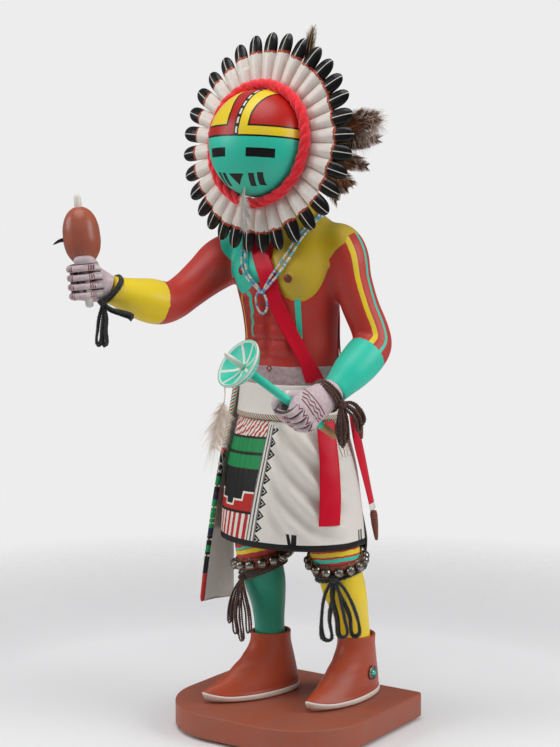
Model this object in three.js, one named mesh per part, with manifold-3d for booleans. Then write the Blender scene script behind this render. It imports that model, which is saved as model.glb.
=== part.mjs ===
// A carved and painted kachina doll: a masked dancer with a ruff of carved feathers, standing on a board.
// Millimetres, +Z up. The origin is the centre of the board's underside, and the dancer faces about -Y.

import * as THREE from "three";
import { mergeVertices } from "three/addons/utils/BufferGeometryUtils.js";
import Module from "manifold-3d";

const wasm = await Module();
wasm.setup();

// Board under the feet
const BOARD_WIDTH = 138;
const BOARD_DEPTH = 122;
const BOARD_THICKNESS = 16;
const BOARD_FRONT_RADIUS = 48;
const BOARD_BACK_RADIUS = 3;

// Carved dancer, measured from the soles to the crown of the mask
const FIGURE_HEIGHT = 400;
const BODY_YAW = 8;
const HEAD_YAW = 5.5;
const HEAD_TILT = 6;

// Mask, feather ruff and the yarn roll between them
const MASK_RADIUS = 35;
const MASK_BULGE = 30;
const RUFF_RADIUS = 70;
const RUFF_FEATHERS = 32;
const RUFF_FEATHER_WIDTH = 10.4;
const RUFF_FEATHER_THICKNESS = 3.4;
const YARN_ROLL_DIAMETER = 7.4;

// Rattle in the right hand
const GOURD_LENGTH = 37;
const GOURD_DIAMETER = 23;
const RATTLE_HANDLE_DIAMETER = 5;
const RATTLE_HANDLE_LENGTH = 71;
const GOURD_PEG_DIAMETER = 2.4;

// Staff in the left hand
const STAFF_ROD_DIAMETER = 5.2;
const STAFF_ROD_LENGTH = 88;
const STAFF_CUP_DIAMETER = 33;
const STAFF_CUP_DEPTH = 10;
const STAFF_SPIKE_DIAMETER = 4;
const STAFF_SPIKE_LENGTH = 12;

// Trim tied on the carving
const RIBBON_WIDTH = 12.7;
const RIBBON_THICKNESS = 0.7;
const YARN_DIAMETER = 2.3;
const BELL_DIAMETER = 6.5;
const BELLS_PER_KNEE = 16;
const BEAD_DIAMETER = 2.1;
const CONCHO_DIAMETER = 9.5;
const SASH_WIDTH = 38;
const SASH_THICKNESS = 3.4;

// Gap between a piece and what it is tied or glued to
const CLEARANCE = 0.3;

const SHARE = FIGURE_HEIGHT / 400;
const DEGREE = Math.PI / 180;
const UP = new THREE.Vector3(0, 0, 1);

// A point of the dancer, in parts of 400 of its height, from the board's centre at the soles
const spot = (x, y, z) => new THREE.Vector3(x, y, z).multiplyScalar(SHARE);

// The direction that faces front after a turn towards the dancer's right
const facing = (yaw) => new THREE.Vector3(-Math.sin(yaw * DEGREE), -Math.cos(yaw * DEGREE), 0);

const BODY_FRONT = facing(BODY_YAW);
const BODY_LEFT = new THREE.Vector3().crossVectors(UP, BODY_FRONT);

function solidFrom(geometry) {
  const bare = geometry.clone();
  bare.deleteAttribute("normal");
  bare.deleteAttribute("uv");
  const merged = mergeVertices(bare, 1e-4);
  const source = merged.index.array;
  const triangles = [];
  for (let i = 0; i < source.length; i += 3) {
    const [a, b, c] = [source[i], source[i + 1], source[i + 2]];
    if (a !== b && b !== c && c !== a) triangles.push(a, b, c);
  }
  return new wasm.Manifold(
    new wasm.Mesh({
      numProp: 3,
      vertProperties: new Float32Array(merged.getAttribute("position").array),
      triVerts: new Uint32Array(triangles),
    }),
  );
}

function union(solids) {
  return solids.reduce((whole, next) => whole.add(next));
}

// The biggest body of a solid, without crumbs that a cut has left
function mainBody(solid) {
  return solid.decompose().sort((a, b) => b.volume() - a.volume())[0];
}

// A closed solid through rings of equally many points, with fans at both ends or running round into itself
function loft(rings, endless = false) {
  const count = rings[0].length;
  const points = rings.flat();
  const index = [];
  const pairs = endless ? rings.length : rings.length - 1;
  for (let r = 0; r < pairs; r++) {
    const next = ((r + 1) % rings.length) * count;
    for (let i = 0; i < count; i++) {
      const j = (i + 1) % count;
      index.push(r * count + i, r * count + j, next + j, r * count + i, next + j, next + i);
    }
  }
  if (!endless) {
    const last = (rings.length - 1) * count;
    const start = points.length;
    for (const ring of [rings[0], rings.at(-1)]) {
      const middle = new THREE.Vector3();
      ring.forEach((p) => middle.add(p));
      points.push(middle.divideScalar(count));
    }
    for (let i = 0; i < count; i++) {
      const j = (i + 1) % count;
      index.push(start, j, i, start + 1, last + i, last + j);
    }
  }
  let volume = 0;
  for (let i = 0; i < index.length; i += 3) {
    const [a, b, c] = [points[index[i]], points[index[i + 1]], points[index[i + 2]]];
    volume += a.dot(new THREE.Vector3().crossVectors(b, c));
  }
  if (volume < 0) index.reverse();
  const geometry = new THREE.BufferGeometry().setFromPoints(points);
  geometry.setIndex(index);
  return solidFrom(geometry);
}

// An ellipse of points about a centre
function ellipse(centre, across, along, halfAcross, halfAlong, sides, swell = () => 0) {
  return Array.from({ length: sides }, (_, i) => {
    const angle = (i / sides) * 2 * Math.PI;
    const more = swell(angle);
    return centre
      .clone()
      .addScaledVector(across, (halfAcross + more) * Math.cos(angle))
      .addScaledVector(along, (halfAlong + more) * Math.sin(angle));
  });
}

// A round or oval rod along points
// Each stop is [point, half width along the reference, half width across it]
function sweep(stops, sides, reference, grow = 0) {
  const first = reference.clone();
  const rings = stops.map(([point, half, halfAcross = half], i) => {
    const before = stops[Math.max(0, i - 1)][0];
    const after = stops[Math.min(stops.length - 1, i + 1)][0];
    const ahead = after.clone().sub(before).normalize();
    first.addScaledVector(ahead, -first.dot(ahead)).normalize();
    const second = new THREE.Vector3().crossVectors(ahead, first);
    return ellipse(point, first, second, half + grow, halfAcross + grow, sides);
  });
  return loft(rings);
}

// Evenly spaced points on a smooth curve through the given ones
function smooth(points, steps) {
  return new THREE.CatmullRomCurve3(points).getPoints(steps);
}

// A round cord along a smooth curve through points
function strand(points, diameter, sides, steps) {
  const corners = Array.from({ length: sides }, (_, i) => {
    const angle = (i / sides) * 2 * Math.PI;
    return new THREE.Vector2(Math.cos(angle), Math.sin(angle)).multiplyScalar(diameter / 2);
  });
  const extrudePath = new THREE.CatmullRomCurve3(points);
  const settings = { steps, extrudePath, bevelEnabled: false };
  return solidFrom(new THREE.ExtrudeGeometry(new THREE.Shape(corners), settings));
}

function cylinder(from, to, radiusFrom, radiusTo, sides) {
  const ahead = to.clone().sub(from).normalize();
  const reference = Math.abs(ahead.z) < 0.8 ? UP : new THREE.Vector3(1, 0, 0);
  return sweep([[from, radiusFrom], [to, radiusTo]], sides, reference);
}

// Stops of a sweep from rows of [x, y, z, half width, other half width], in parts of the dancer's height
function stopsFrom(rows) {
  return rows.map(([x, y, z, half, other = half]) => [spot(x, y, z), half * SHARE, other * SHARE]);
}

// Torso and neck: [height, shift forward, half width, half depth]
const BODY_CENTRE = { x: -1.5, y: 9 };
const BODY_SIDES = 20;
const LIMB_SIDES = 10;
const TORSO = [
  [180, 0, 33, 26],
  [214, 0, 33.5, 27],
  [226, 0, 33.5, 26.5],
  [239, 0.5, 33, 26],
  [254, 1.5, 34.5, 26.5],
  [268, 2.5, 37.5, 28],
  [281, 3, 40.5, 29],
  [292, 1.5, 42, 27.5],
  [301, 0, 40.5, 24.5],
  [309, -1, 36, 20],
  [315, -1, 26, 16.5],
  [322, 2, 15, 14],
  [345, 8, 14, 14],
];

// Kilt, belt and waistband: [height, half width, half depth, share of the folds]
const KILT = [
  [105, 52, 40, 1],
  [118, 51.2, 39.6, 1],
  [136, 49.5, 38.5, 0.85],
  [155, 46, 36.2, 0.7],
  [172, 41.4, 33.2, 0.4],
  [186, 37.4, 30.2, 0.1],
  [187, 38.4, 31.4, 0],
  [209, 36, 29.8, 0],
  [210, 33.9, 27.3, 0],
  [221, 33.8, 27.1, 0],
];
const FOLD_DEPTH = 1.3;
const FOLDS = 8;
const FOLD_TURN = 2.4;
const KILT_SIDES = 32;

const figureCentre = (height, forward = 0) =>
  spot(BODY_CENTRE.x, BODY_CENTRE.y, height).addScaledVector(BODY_FRONT, forward * SHARE);

function torsoSolid(grow) {
  const rings = TORSO.map(([height, forward, half, depth]) =>
    ellipse(
      figureCentre(height, forward),
      BODY_LEFT,
      BODY_FRONT,
      half * SHARE + grow,
      depth * SHARE + grow,
      BODY_SIDES,
    ),
  );
  return loft(rings);
}

function kiltSolid(grow) {
  const rings = KILT.map(([height, half, depth, folds]) => {
    const drop = grow > 0 && height === KILT[0][0] ? grow : 0;
    const turn = ((KILT.at(-1)[0] - height) / (KILT.at(-1)[0] - KILT[0][0])) * FOLD_TURN;
    const swell = (angle) => FOLD_DEPTH * SHARE * folds * Math.sin(FOLDS * angle + turn);
    const centre = figureCentre(height);
    centre.z -= drop;
    const [halfAcross, halfAlong] = [half * SHARE + grow, depth * SHARE + grow];
    return ellipse(centre, BODY_LEFT, BODY_FRONT, halfAcross, halfAlong, KILT_SIDES, swell);
  });
  return loft(rings);
}

// Back corner of the wrapped kilt, which hangs below the hem
const KILT_CORNER = [
  [28, 38, 128, 6, 2.5],
  [36, 34, 104, 6, 2.5],
  [41, 30, 94, 2.5, 1.5],
];

// Legs, from inside the kilt down into the boots
const LEGS = {
  right: [
    [-20, -2, 128, 16.5],
    [-18, -4, 110, 16.5],
    [-17, -5, 98, 16],
    [-15.5, -4.5, 88, 14.2],
    [-15, -2.5, 77, 13.3],
    [-15.5, 2, 62, 11.2],
    [-16.5, 5, 48, 10],
    [-17, 7, 32, 10],
  ],
  left: [
    [30, 6, 128, 16],
    [32, 7, 110, 16],
    [33.5, 8, 98, 16],
    [35, 10.5, 88, 14.6],
    [36, 13, 77, 14],
    [36.5, 20, 62, 12],
    [35.5, 27, 48, 10.4],
    [35, 31, 32, 10],
  ],
};

// Boots: ankle on the board's plan and the turn of the toe towards the dancer's right
const BOOTS = {
  right: { x: -17, y: 7, yaw: 21 },
  left: { x: 35, y: 31, yaw: 4 },
};
// Levels of a boot: [height, heel behind the ankle, toe ahead of it, half width, lift of the toe]
const BOOT_LEVELS = [
  [0, 20.5, 46, 12.5, 0],
  [1.5, 22.5, 52, 14.4, 2.5],
  [4, 22.5, 53.5, 14.8, 3.6],
  [6, 21.5, 51, 13.8, 3.2],
  [10, 21, 45, 13.4, 1.6],
  [15, 20, 37, 12.8, 0],
  [21, 18.5, 28.5, 12.2, 0],
  [28, 16.5, 20, 11.8, 0],
  [36, 14.4, 14.6, 11.8, 0],
  [45, 14, 13.4, 12.4, 0],
  [46.5, 13, 12.4, 11.4, 0],
];
const TOE_POINT = 0.42;
const BOOT_SIDES = 14;

function bootSolid(side, grow) {
  const { x, y, yaw } = BOOTS[side];
  const ahead = facing(yaw);
  const across = new THREE.Vector3().crossVectors(UP, ahead);
  const rings = BOOT_LEVELS.map(([height, heel, toe, half, lift], level) =>
    Array.from({ length: BOOT_SIDES }, (_, i) => {
      const angle = (i / BOOT_SIDES) * 2 * Math.PI;
      const along = Math.cos(angle);
      const narrow = 1 - TOE_POINT * Math.max(0, along) ** 2 * Math.min(1, toe / 45);
      const rise = lift * Math.max(0, (along - 0.5) / 0.5) ** 2;
      const raised = height + rise - (level === 0 && grow > 0 ? grow : 0);
      return spot(x, y, raised)
        .addScaledVector(ahead, ((toe - heel) / 2) * SHARE + (((toe + heel) / 2) * SHARE + grow) * along)
        .addScaledVector(across, (half * narrow * SHARE + grow) * Math.sin(angle));
    }),
  );
  return loft(rings);
}

// Arms, from inside the chest to the wrist
const ARMS = {
  right: [
    [-32, 9, 292, 13],
    [-44, 8, 290, 16],
    [-51, 0, 285, 16.4],
    [-54, -14, 277, 14],
    [-56.5, -30, 268, 12.4],
    [-58.5, -43, 262, 12.6],
    [-61, -52, 261, 14],
    [-64.5, -62, 263, 14],
    [-69, -73, 266, 11.6],
    [-73, -81.5, 269, 9.4],
    [-75, -86, 270.5, 9],
  ],
  left: [
    [26, 8, 298, 12],
    [34, 7.5, 298, 14.5],
    [40.5, 7, 291, 14.5],
    [44.5, 8, 276, 12.8],
    [49.5, 11, 259, 11.8],
    [54.5, 14.5, 244, 11.8],
    [57, 13, 235, 12.4],
    [56, 4, 227.5, 13.2],
    [53.5, -7, 219, 12],
    [51, -15.5, 212, 9.6],
    [49.5, -20.5, 208, 8.4],
  ],
};

// What each hand grips: an axis from its low end to its high end
const RATTLE_LOW = spot(-80.8, -98.2, 259.5);
const RATTLE_HIGH = spot(-86.8, -102.6, 331);
const STAFF_TAIL = spot(49.3, -17.5, 179.5);
const STAFF_SIGHT = spot(23.2, -85.7, 229.4);

// A hand closed round an axis: grip is the axis, thumb points along it, distal to the knuckles, palm inwards
function gripFrame(low, high, share, armRows, palmHint) {
  const thumb = high.clone().sub(low).normalize();
  const wrist = spot(...armRows.at(-1).slice(0, 3));
  const centre = low.clone().lerp(high, share);
  const distal = centre.clone().sub(wrist);
  distal.addScaledVector(thumb, -distal.dot(thumb)).normalize();
  const palm = new THREE.Vector3().crossVectors(thumb, distal);
  if (palm.dot(palmHint) < 0) palm.negate();
  return { thumb, wrist, centre, distal, palm };
}

const GRIPS = {
  right: gripFrame(RATTLE_LOW, RATTLE_HIGH, 0.23, ARMS.right, new THREE.Vector3(1, 0, 0)),
  left: gripFrame(STAFF_TAIL, STAFF_SIGHT, 0.36, ARMS.left, new THREE.Vector3(-1, 0, 0)),
};
const FINGERS = 4;
const FINGER_HALF = 3.2;
const FINGER_PITCH = 5.6;
// Round the grip: [ahead of it, on its palm side, share of the finger's thickness]
const FINGER_PATH = [
  [0, -7, 1],
  [6, -7.6, 1],
  [9.4, -3, 1],
  [9.2, 3.2, 1],
  [6, 7, 0.95],
  [0, 7.6, 0.9],
  [-4.6, 7, 0.6],
];

function handSolid(side, grow) {
  const { thumb, wrist, centre, distal, palm } = GRIPS[side];
  const put = (forward, inward, along) =>
    centre
      .clone()
      .addScaledVector(distal, forward * SHARE)
      .addScaledVector(palm, inward * SHARE)
      .addScaledVector(thumb, along * SHARE);
  const fromWrist = (share, inward, along) => wrist.clone().lerp(put(0, inward, along), share);
  const back = sweep(
    [
      [wrist, 8.8 * SHARE, 8.6 * SHARE],
      [fromWrist(0.35, -4, 0), 10.4 * SHARE, 8.4 * SHARE],
      [fromWrist(0.7, -4.5, 0), 12 * SHARE, 8 * SHARE],
      [put(0, -5, 0), 12.6 * SHARE, 6.6 * SHARE],
      [put(4.5, -6.2, 0), 12 * SHARE, 4.8 * SHARE],
      [put(7, -6.6, 0), 10.5 * SHARE, 3 * SHARE],
    ],
    10,
    thumb,
    grow,
  );
  const fingers = FINGER_PATH.map(([forward, inward, slim], i) => {
    const [beforeF, beforeI] = FINGER_PATH[Math.max(0, i - 1)];
    const [afterF, afterI] = FINGER_PATH[Math.min(FINGER_PATH.length - 1, i + 1)];
    const out = new THREE.Vector2(beforeI - afterI, afterF - beforeF).normalize().multiplyScalar(-1);
    const half = FINGER_HALF * slim;
    const pitch = FINGER_PITCH;
    const at = (along, rise) => {
      const lifted = rise + (grow / SHARE) * Math.sign(rise);
      return put(forward + out.x * lifted, inward + out.y * lifted, along * (1 + grow / (2 * pitch * SHARE)));
    };
    const ring = [];
    for (let finger = 0; finger < FINGERS; finger++) {
      const along = (finger - (FINGERS - 1) / 2) * pitch;
      ring.push(at(along - pitch / 2, finger === 0 ? -0.2 * half : 0.45 * half));
      ring.push(at(along - pitch * 0.2, half), at(along + pitch * 0.2, half));
    }
    ring.push(at(pitch * 2, -0.2 * half), at(pitch * 1.7, -half), at(-pitch * 1.7, -half));
    return ring;
  });
  const parts = [back, loft(fingers)];
  const thumbStops = [
    [fromWrist(0.2, 1, 6), 5.4 * SHARE],
    [fromWrist(0.65, 5, 10.5), 5 * SHARE],
    [put(0, 7, 12.8), 4 * SHARE],
    [put(5, 5.6, 13.6), 3.4 * SHARE],
    [put(7.6, 4.6, 13.4), 2 * SHARE],
  ];
  parts.push(sweep(thumbStops, 6, palm, grow));
  return union(parts);
}

// The mask's frame: face points out of the ruff, crown along its top, cheek to the dancer's left
const HEAD_CENTRE = spot(-4.8, -16.2, 362);
const FACE = facing(HEAD_YAW)
  .multiplyScalar(Math.cos(HEAD_TILT * DEGREE))
  .addScaledVector(UP, Math.sin(HEAD_TILT * DEGREE));
const CHEEK = new THREE.Vector3().crossVectors(UP, FACE).normalize();
const CROWN = new THREE.Vector3().crossVectors(FACE, CHEEK);
const onFace = (cheek, crown, out) =>
  HEAD_CENTRE.clone().addScaledVector(CHEEK, cheek).addScaledVector(CROWN, crown).addScaledVector(FACE, out);
const MASK_SET_OUT = 6;
const HEAD_BACK = 38;
const HEAD_BLUNTNESS = 0.75;
const HEAD_SIDES = 20;
const HEAD_STEPS = 11;

// A dome in front and a rounder, smaller back, turned about the face's own axis
function headSolid(grow) {
  const profile = [];
  for (let i = 0; i <= HEAD_STEPS; i++) {
    const angle = (i / HEAD_STEPS) * Math.PI;
    const behind = angle > Math.PI / 2;
    const reach = behind ? HEAD_BACK : MASK_BULGE;
    const girth = behind ? Math.sin(angle) ** HEAD_BLUNTNESS : Math.sin(angle);
    profile.push([Math.cos(angle) * (reach + grow), girth * (MASK_RADIUS + grow)]);
  }
  const rings = profile
    .slice(1, -1)
    .map(([out, girth]) => ellipse(onFace(0, 0, MASK_SET_OUT + out), CHEEK, CROWN, girth, girth, HEAD_SIDES));
  const caps = [rings[0], rings.at(-1)].map((ring, i) => {
    const tip = onFace(0, 0, MASK_SET_OUT + profile[i ? HEAD_STEPS : 0][0]);
    return ring.map((p) => p.clone().lerp(tip, 0.85));
  });
  return loft([caps[0], ...rings, caps[1]]);
}

const carvedCache = new Map();
function carved(grow) {
  if (!carvedCache.has(grow)) {
    const parts = [torsoSolid(grow), kiltSolid(grow), headSolid(grow)];
    parts.push(sweep(stopsFrom(KILT_CORNER), 8, BODY_LEFT, grow));
    for (const side of ["right", "left"]) {
      parts.push(sweep(stopsFrom(LEGS[side]), LIMB_SIDES, BODY_FRONT, grow));
      parts.push(sweep(stopsFrom(ARMS[side]), LIMB_SIDES, UP, grow));
      parts.push(bootSolid(side, grow), handSolid(side, grow));
    }
    carvedCache.set(grow, union(parts));
  }
  return carvedCache.get(grow);
}

// A trim piece cut clear of the carving
const clearOfCarving = (solid) => mainBody(solid.subtract(carved(CLEARANCE)));

// Rods that the hands hold, from a low end towards a sight point
const ROD_SIDES = 10;

function rod(low, sight, diameter, length, sides, grow) {
  const ahead = sight.clone().sub(low).normalize();
  const start = low.clone().addScaledVector(ahead, -grow);
  const end = low.clone().addScaledVector(ahead, length + grow);
  const radius = diameter / 2 + grow;
  return cylinder(start, end, radius, radius, sides);
}

const rattleRod = (grow) =>
  rod(RATTLE_LOW, RATTLE_HIGH, RATTLE_HANDLE_DIAMETER, RATTLE_HANDLE_LENGTH * SHARE, ROD_SIDES, grow);
const staffRod = (grow) =>
  rod(STAFF_TAIL, STAFF_SIGHT, STAFF_ROD_DIAMETER, STAFF_ROD_LENGTH * SHARE, ROD_SIDES, grow);

function figureSolid() {
  return mainBody(carved(0).subtract(rattleRod(CLEARANCE)).subtract(staffRod(CLEARANCE)));
}

// The board: square at the back, with two big rounded corners at the front
function boardSolid() {
  const [w, d, rf, rb] = [BOARD_WIDTH / 2, BOARD_DEPTH / 2, BOARD_FRONT_RADIUS, BOARD_BACK_RADIUS];
  const outline = new THREE.Shape();
  outline.moveTo(-w, d - rb);
  outline.lineTo(-w, -d + rf);
  outline.absarc(-w + rf, -d + rf, rf, Math.PI, 1.5 * Math.PI);
  outline.lineTo(w - rf, -d);
  outline.absarc(w - rf, -d + rf, rf, 1.5 * Math.PI, 2 * Math.PI);
  outline.lineTo(w, d - rb);
  outline.absarc(w - rb, d - rb, rb, 0, 0.5 * Math.PI);
  outline.lineTo(-w + rb, d);
  outline.absarc(-w + rb, d - rb, rb, 0.5 * Math.PI, Math.PI);
  const settings = { depth: BOARD_THICKNESS, bevelEnabled: false, curveSegments: 10 };
  return solidFrom(new THREE.ExtrudeGeometry(outline, settings));
}

// One feather of the ruff as six rows: [radius, height of its ridge, of its edge, half width at its edge]
const RUFF_INNER = MASK_RADIUS + 0.6;
const RUFF_NOTCH = 0.71 * RUFF_RADIUS;
const RUFF_SWEEP = 3;
const RUFF_BACK = -0.35 * RUFF_FEATHER_THICKNESS;
const RUFF_FEATHER = [
  [RUFF_INNER, 0.35, 0.2, 0.3],
  [RUFF_NOTCH, 0.85, 0.35, 0.43],
  [0.885 * RUFF_RADIUS, 0.75, 0.18, 0.5],
  [RUFF_RADIUS, 0.1, 0.1, 0.33],
  [RUFF_NOTCH * 1.03, RUFF_BACK / RUFF_FEATHER_THICKNESS, -0.3, 0.43],
  [RUFF_INNER, RUFF_BACK / RUFF_FEATHER_THICKNESS, -0.3, 0.3],
];
const RUFF_EDGE_TIP = 0.962;

function ruffSolid() {
  const pitch = (2 * Math.PI) / RUFF_FEATHERS;
  const place = (turn, aside, radius, height) => {
    const angle = turn + aside / radius;
    const back = RUFF_SWEEP * (1 - (radius - RUFF_INNER) / (RUFF_RADIUS - RUFF_INNER));
    return onFace(radius * Math.sin(angle), radius * Math.cos(angle), back + height * RUFF_FEATHER_THICKNESS);
  };
  const rings = [];
  for (let feather = 0; feather < RUFF_FEATHERS; feather++) {
    const turn = feather * pitch;
    const edge = (hand) =>
      RUFF_FEATHER.map(([radius, , height, wide]) => {
        const reach = radius === RUFF_RADIUS ? radius * RUFF_EDGE_TIP : radius;
        return place(turn, hand * wide * Math.min(RUFF_FEATHER_WIDTH, pitch * reach), reach, height);
      });
    const ridge = RUFF_FEATHER.map(([radius, height]) => place(turn, 0, radius, height));
    const groove = RUFF_FEATHER.map(([radius, , height]) => {
      const outer = height > 0 && radius >= RUFF_NOTCH;
      const reach = outer ? RUFF_NOTCH : Math.min(radius, RUFF_NOTCH);
      return place(turn + pitch / 2, 0, reach, outer ? 0.25 : height);
    });
    rings.push(edge(-1), ridge, edge(1), groove);
  }
  return loft(rings, true);
}

// A band round a limb, turned from a closed profile
const BAND_SIDES = 12;

function bandSolid(centre, axis, radius, thickness, half) {
  const profile = [
    [-half, radius],
    [-half * 0.7, radius + thickness],
    [half * 0.7, radius + thickness],
    [half, radius],
    [-half, radius],
  ];
  return turned(profile, centre, axis, BAND_SIDES);
}

// The yarn roll: round outside, flat where it lies on the mask
const ROLL_SET_OUT = 8.3;
const ROLL_SIDES = 24;
const ROLL_PROFILE = [
  // height and distance from the mask, in parts of the roll's diameter
  [-0.38, 0],
  [0.3, 0],
  [0.48, 0.24],
  [0.46, 0.6],
  [0.2, 0.86],
  [-0.16, 0.86],
  [-0.46, 0.55],
  [-0.5, 0.22],
  [-0.38, 0],
];

function yarnRollSolid() {
  const inner = MASK_RADIUS + 0.5;
  const profile = ROLL_PROFILE.map(([height, away]) => [
    height * YARN_ROLL_DIAMETER,
    inner + away * YARN_ROLL_DIAMETER,
  ]);
  return turned(profile, onFace(0, 0, ROLL_SET_OUT), FACE, ROLL_SIDES);
}

// A leaf-shaped feather: a curved, flattened blade from root to tip
const PLUME_SIDES = 4;

function plume(root, tip, bend, half, thick, flat) {
  const middle = root.clone().lerp(tip, 0.5).add(bend);
  const points = new THREE.QuadraticBezierCurve3(root, middle, tip).getPoints(4);
  const swell = [0.2, 0.9, 1, 0.75, 0.15];
  const stops = points.map((p, i) => [p, half * swell[i], (thick / 2) * Math.max(0.5, swell[i])]);
  return sweep(stops, PLUME_SIDES, flat);
}

// Brown feathers tied behind the ruff, from one knot at the back of the head
const PLUME_KNOT = onFace(0, 4, MASK_SET_OUT - HEAD_BACK - 1);
const PLUMES = [
  // cheek, crown and depth of the tip, half width
  [62, 24, -34, 12],
  [60, 6, -40, 10],
  [52, -12, -40, 10],
  [40, -26, -38, 9],
  [16, -38, -38, 9],
  [-16, -34, -40, 9],
  [-42, -10, -44, 10],
  [-40, 22, -40, 10],
  [4, 42, -38, 10],
];

function backPlumesSolid() {
  const knot = solidFrom(new THREE.IcosahedronGeometry(6 * SHARE, 0).translate(...PLUME_KNOT));
  const blades = PLUMES.map(([cheek, crown, out, half]) => {
    const tip = onFace(cheek * SHARE, crown * SHARE, out * SHARE);
    const outward = tip.clone().sub(HEAD_CENTRE);
    const flat = new THREE.Vector3().crossVectors(outward, FACE).normalize();
    const bend = FACE.clone().multiplyScalar(4 * SHARE);
    return plume(PLUME_KNOT, tip, bend, half * SHARE, 3.2 * SHARE, flat);
  });
  return clearOfCarving(union([knot, ...blades]));
}

function crownPlumeSolid() {
  const root = onFace(25 * SHARE, 0.6 * RUFF_RADIUS, -3.8);
  const tip = onFace(25.5 * SHARE, RUFF_RADIUS + 3, -4.8);
  return plume(root, tip, new THREE.Vector3(), 4.2 * SHARE, 2.4, CHEEK);
}

function maskPoint(cheek, crown, above) {
  const drop = Math.hypot(cheek, crown) / MASK_RADIUS;
  const out = MASK_SET_OUT + MASK_BULGE * Math.sqrt(Math.max(0, 1 - drop * drop));
  return onFace(cheek, crown, out + above);
}

function chinPlumeSolid() {
  const root = maskPoint(0, -0.7 * MASK_RADIUS, 1.4);
  const tip = onFace(1, -MASK_RADIUS - 19, ROLL_SET_OUT + YARN_ROLL_DIAMETER * 0.55);
  const lift = FACE.clone().multiplyScalar(5);
  return clearOfCarving(plume(root, tip, lift, 5 * SHARE, 2.2, CHEEK));
}

// The rattle's gourd, turned from a profile of [share of the length, share of the radius]
const GOURD_PROFILE = [
  [0, 0],
  [0.03, 0.34],
  [0.12, 0.68],
  [0.28, 0.93],
  [0.42, 1],
  [0.58, 0.97],
  [0.76, 0.83],
  [0.9, 0.58],
  [0.98, 0.26],
  [1, 0],
];
const RATTLE_AXIS = RATTLE_HIGH.clone().sub(RATTLE_LOW).normalize();
const GOURD_START = 26;
const GOURD_SIDES = 14;

// A lathe profile of [height, radius] placed with its axis on a line
function turned(profile, origin, axis, sides) {
  const points = profile.map(([height, radius]) => new THREE.Vector2(Math.max(0, radius), height));
  const geometry = new THREE.LatheGeometry(points, sides);
  const turn = new THREE.Quaternion().setFromUnitVectors(new THREE.Vector3(0, 1, 0), axis);
  geometry.applyQuaternion(turn).translate(origin.x, origin.y, origin.z);
  const solid = solidFrom(geometry);
  return solid.volume() < 0 ? solidFrom(flipped(geometry)) : solid;
}

function flipped(geometry) {
  const copy = geometry.clone();
  copy.setIndex(Array.from(copy.index.array).reverse());
  return copy;
}

function gourdSolid() {
  const profile = GOURD_PROFILE.map(([share, girth]) => [share * GOURD_LENGTH, (girth * GOURD_DIAMETER) / 2]);
  const origin = RATTLE_LOW.clone().addScaledVector(RATTLE_AXIS, GOURD_START * SHARE);
  const gourd = turned(profile, origin, RATTLE_AXIS, GOURD_SIDES);
  return mainBody(gourd.subtract(rattleRod(CLEARANCE)).subtract(carved(CLEARANCE)));
}

// The dark peg in the gourd's side
function gourdPegSolid(gourd) {
  const side = new THREE.Vector3(-0.85, -0.5, 0.1).normalize();
  const height = GOURD_START * SHARE + GOURD_LENGTH * 0.42;
  const root = RATTLE_LOW.clone()
    .addScaledVector(RATTLE_AXIS, height)
    .addScaledVector(side, (GOURD_DIAMETER / 2) * 0.9);
  const middle = root.clone().addScaledVector(side, 4.5);
  const tip = root.clone().addScaledVector(side, 8.5).addScaledVector(UP, -4.5);
  const half = GOURD_PEG_DIAMETER / 2;
  const peg = sweep([[root, half], [middle, half * 0.9], [tip, half * 0.25]], 8, UP);
  return mainBody(peg.subtract(gourd));
}

// The staff's cup: a shallow bowl with a rim, its mouth towards the staff's head
const STAFF_AXIS = STAFF_SIGHT.clone().sub(STAFF_TAIL).normalize();
const ROD_END = STAFF_TAIL.clone().addScaledVector(STAFF_AXIS, STAFF_ROD_LENGTH * SHARE + CLEARANCE);
const CUP_SIDES = 18;

function staffCupSolid() {
  const r = STAFF_CUP_DIAMETER / 2;
  const profile = [
    [-STAFF_CUP_DEPTH, 0],
    [-STAFF_CUP_DEPTH, 0.34 * r],
    [-STAFF_CUP_DEPTH * 0.62, 0.68 * r],
    [-STAFF_CUP_DEPTH * 0.28, 0.92 * r],
    [0, r],
    [0.8, 0.98 * r],
    [0, 0.9 * r],
    [-STAFF_CUP_DEPTH * 0.34, 0.45 * r],
    [-STAFF_CUP_DEPTH * 0.5, 0],
  ];
  return turned(profile, ROD_END, STAFF_AXIS, CUP_SIDES).subtract(staffRod(CLEARANCE));
}

function staffSpikeSolid() {
  const end = ROD_END.clone().addScaledVector(STAFF_AXIS, STAFF_SPIKE_LENGTH);
  const half = STAFF_SPIKE_DIAMETER / 2;
  const shoulder = ROD_END.clone().lerp(end, 0.6);
  return sweep([[ROD_END, half], [shoulder, half * 0.9], [end, half * 0.3]], ROD_SIDES, UP);
}

// The downy feather on a thread below the cup
function staffPlumeSolid() {
  const down = UP.clone().addScaledVector(STAFF_AXIS, -UP.dot(STAFF_AXIS)).normalize().negate();
  const rim = ROD_END.clone()
    .addScaledVector(down, STAFF_CUP_DIAMETER / 2 - 1)
    .addScaledVector(STAFF_AXIS, 1.4);
  const knot = rim.clone().addScaledVector(UP, -10 * SHARE);
  const tip = knot.clone().add(spot(-5, -3, -29));
  const thread = cylinder(rim, knot, 0.45, 0.45, 6);
  const blade = plume(knot.clone().addScaledVector(UP, 1), tip, spot(-3, 1, 0), 9.5 * SHARE, 5, BODY_LEFT);
  return mainBody(union([thread, blade]).subtract(staffCupSolid()));
}

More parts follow.
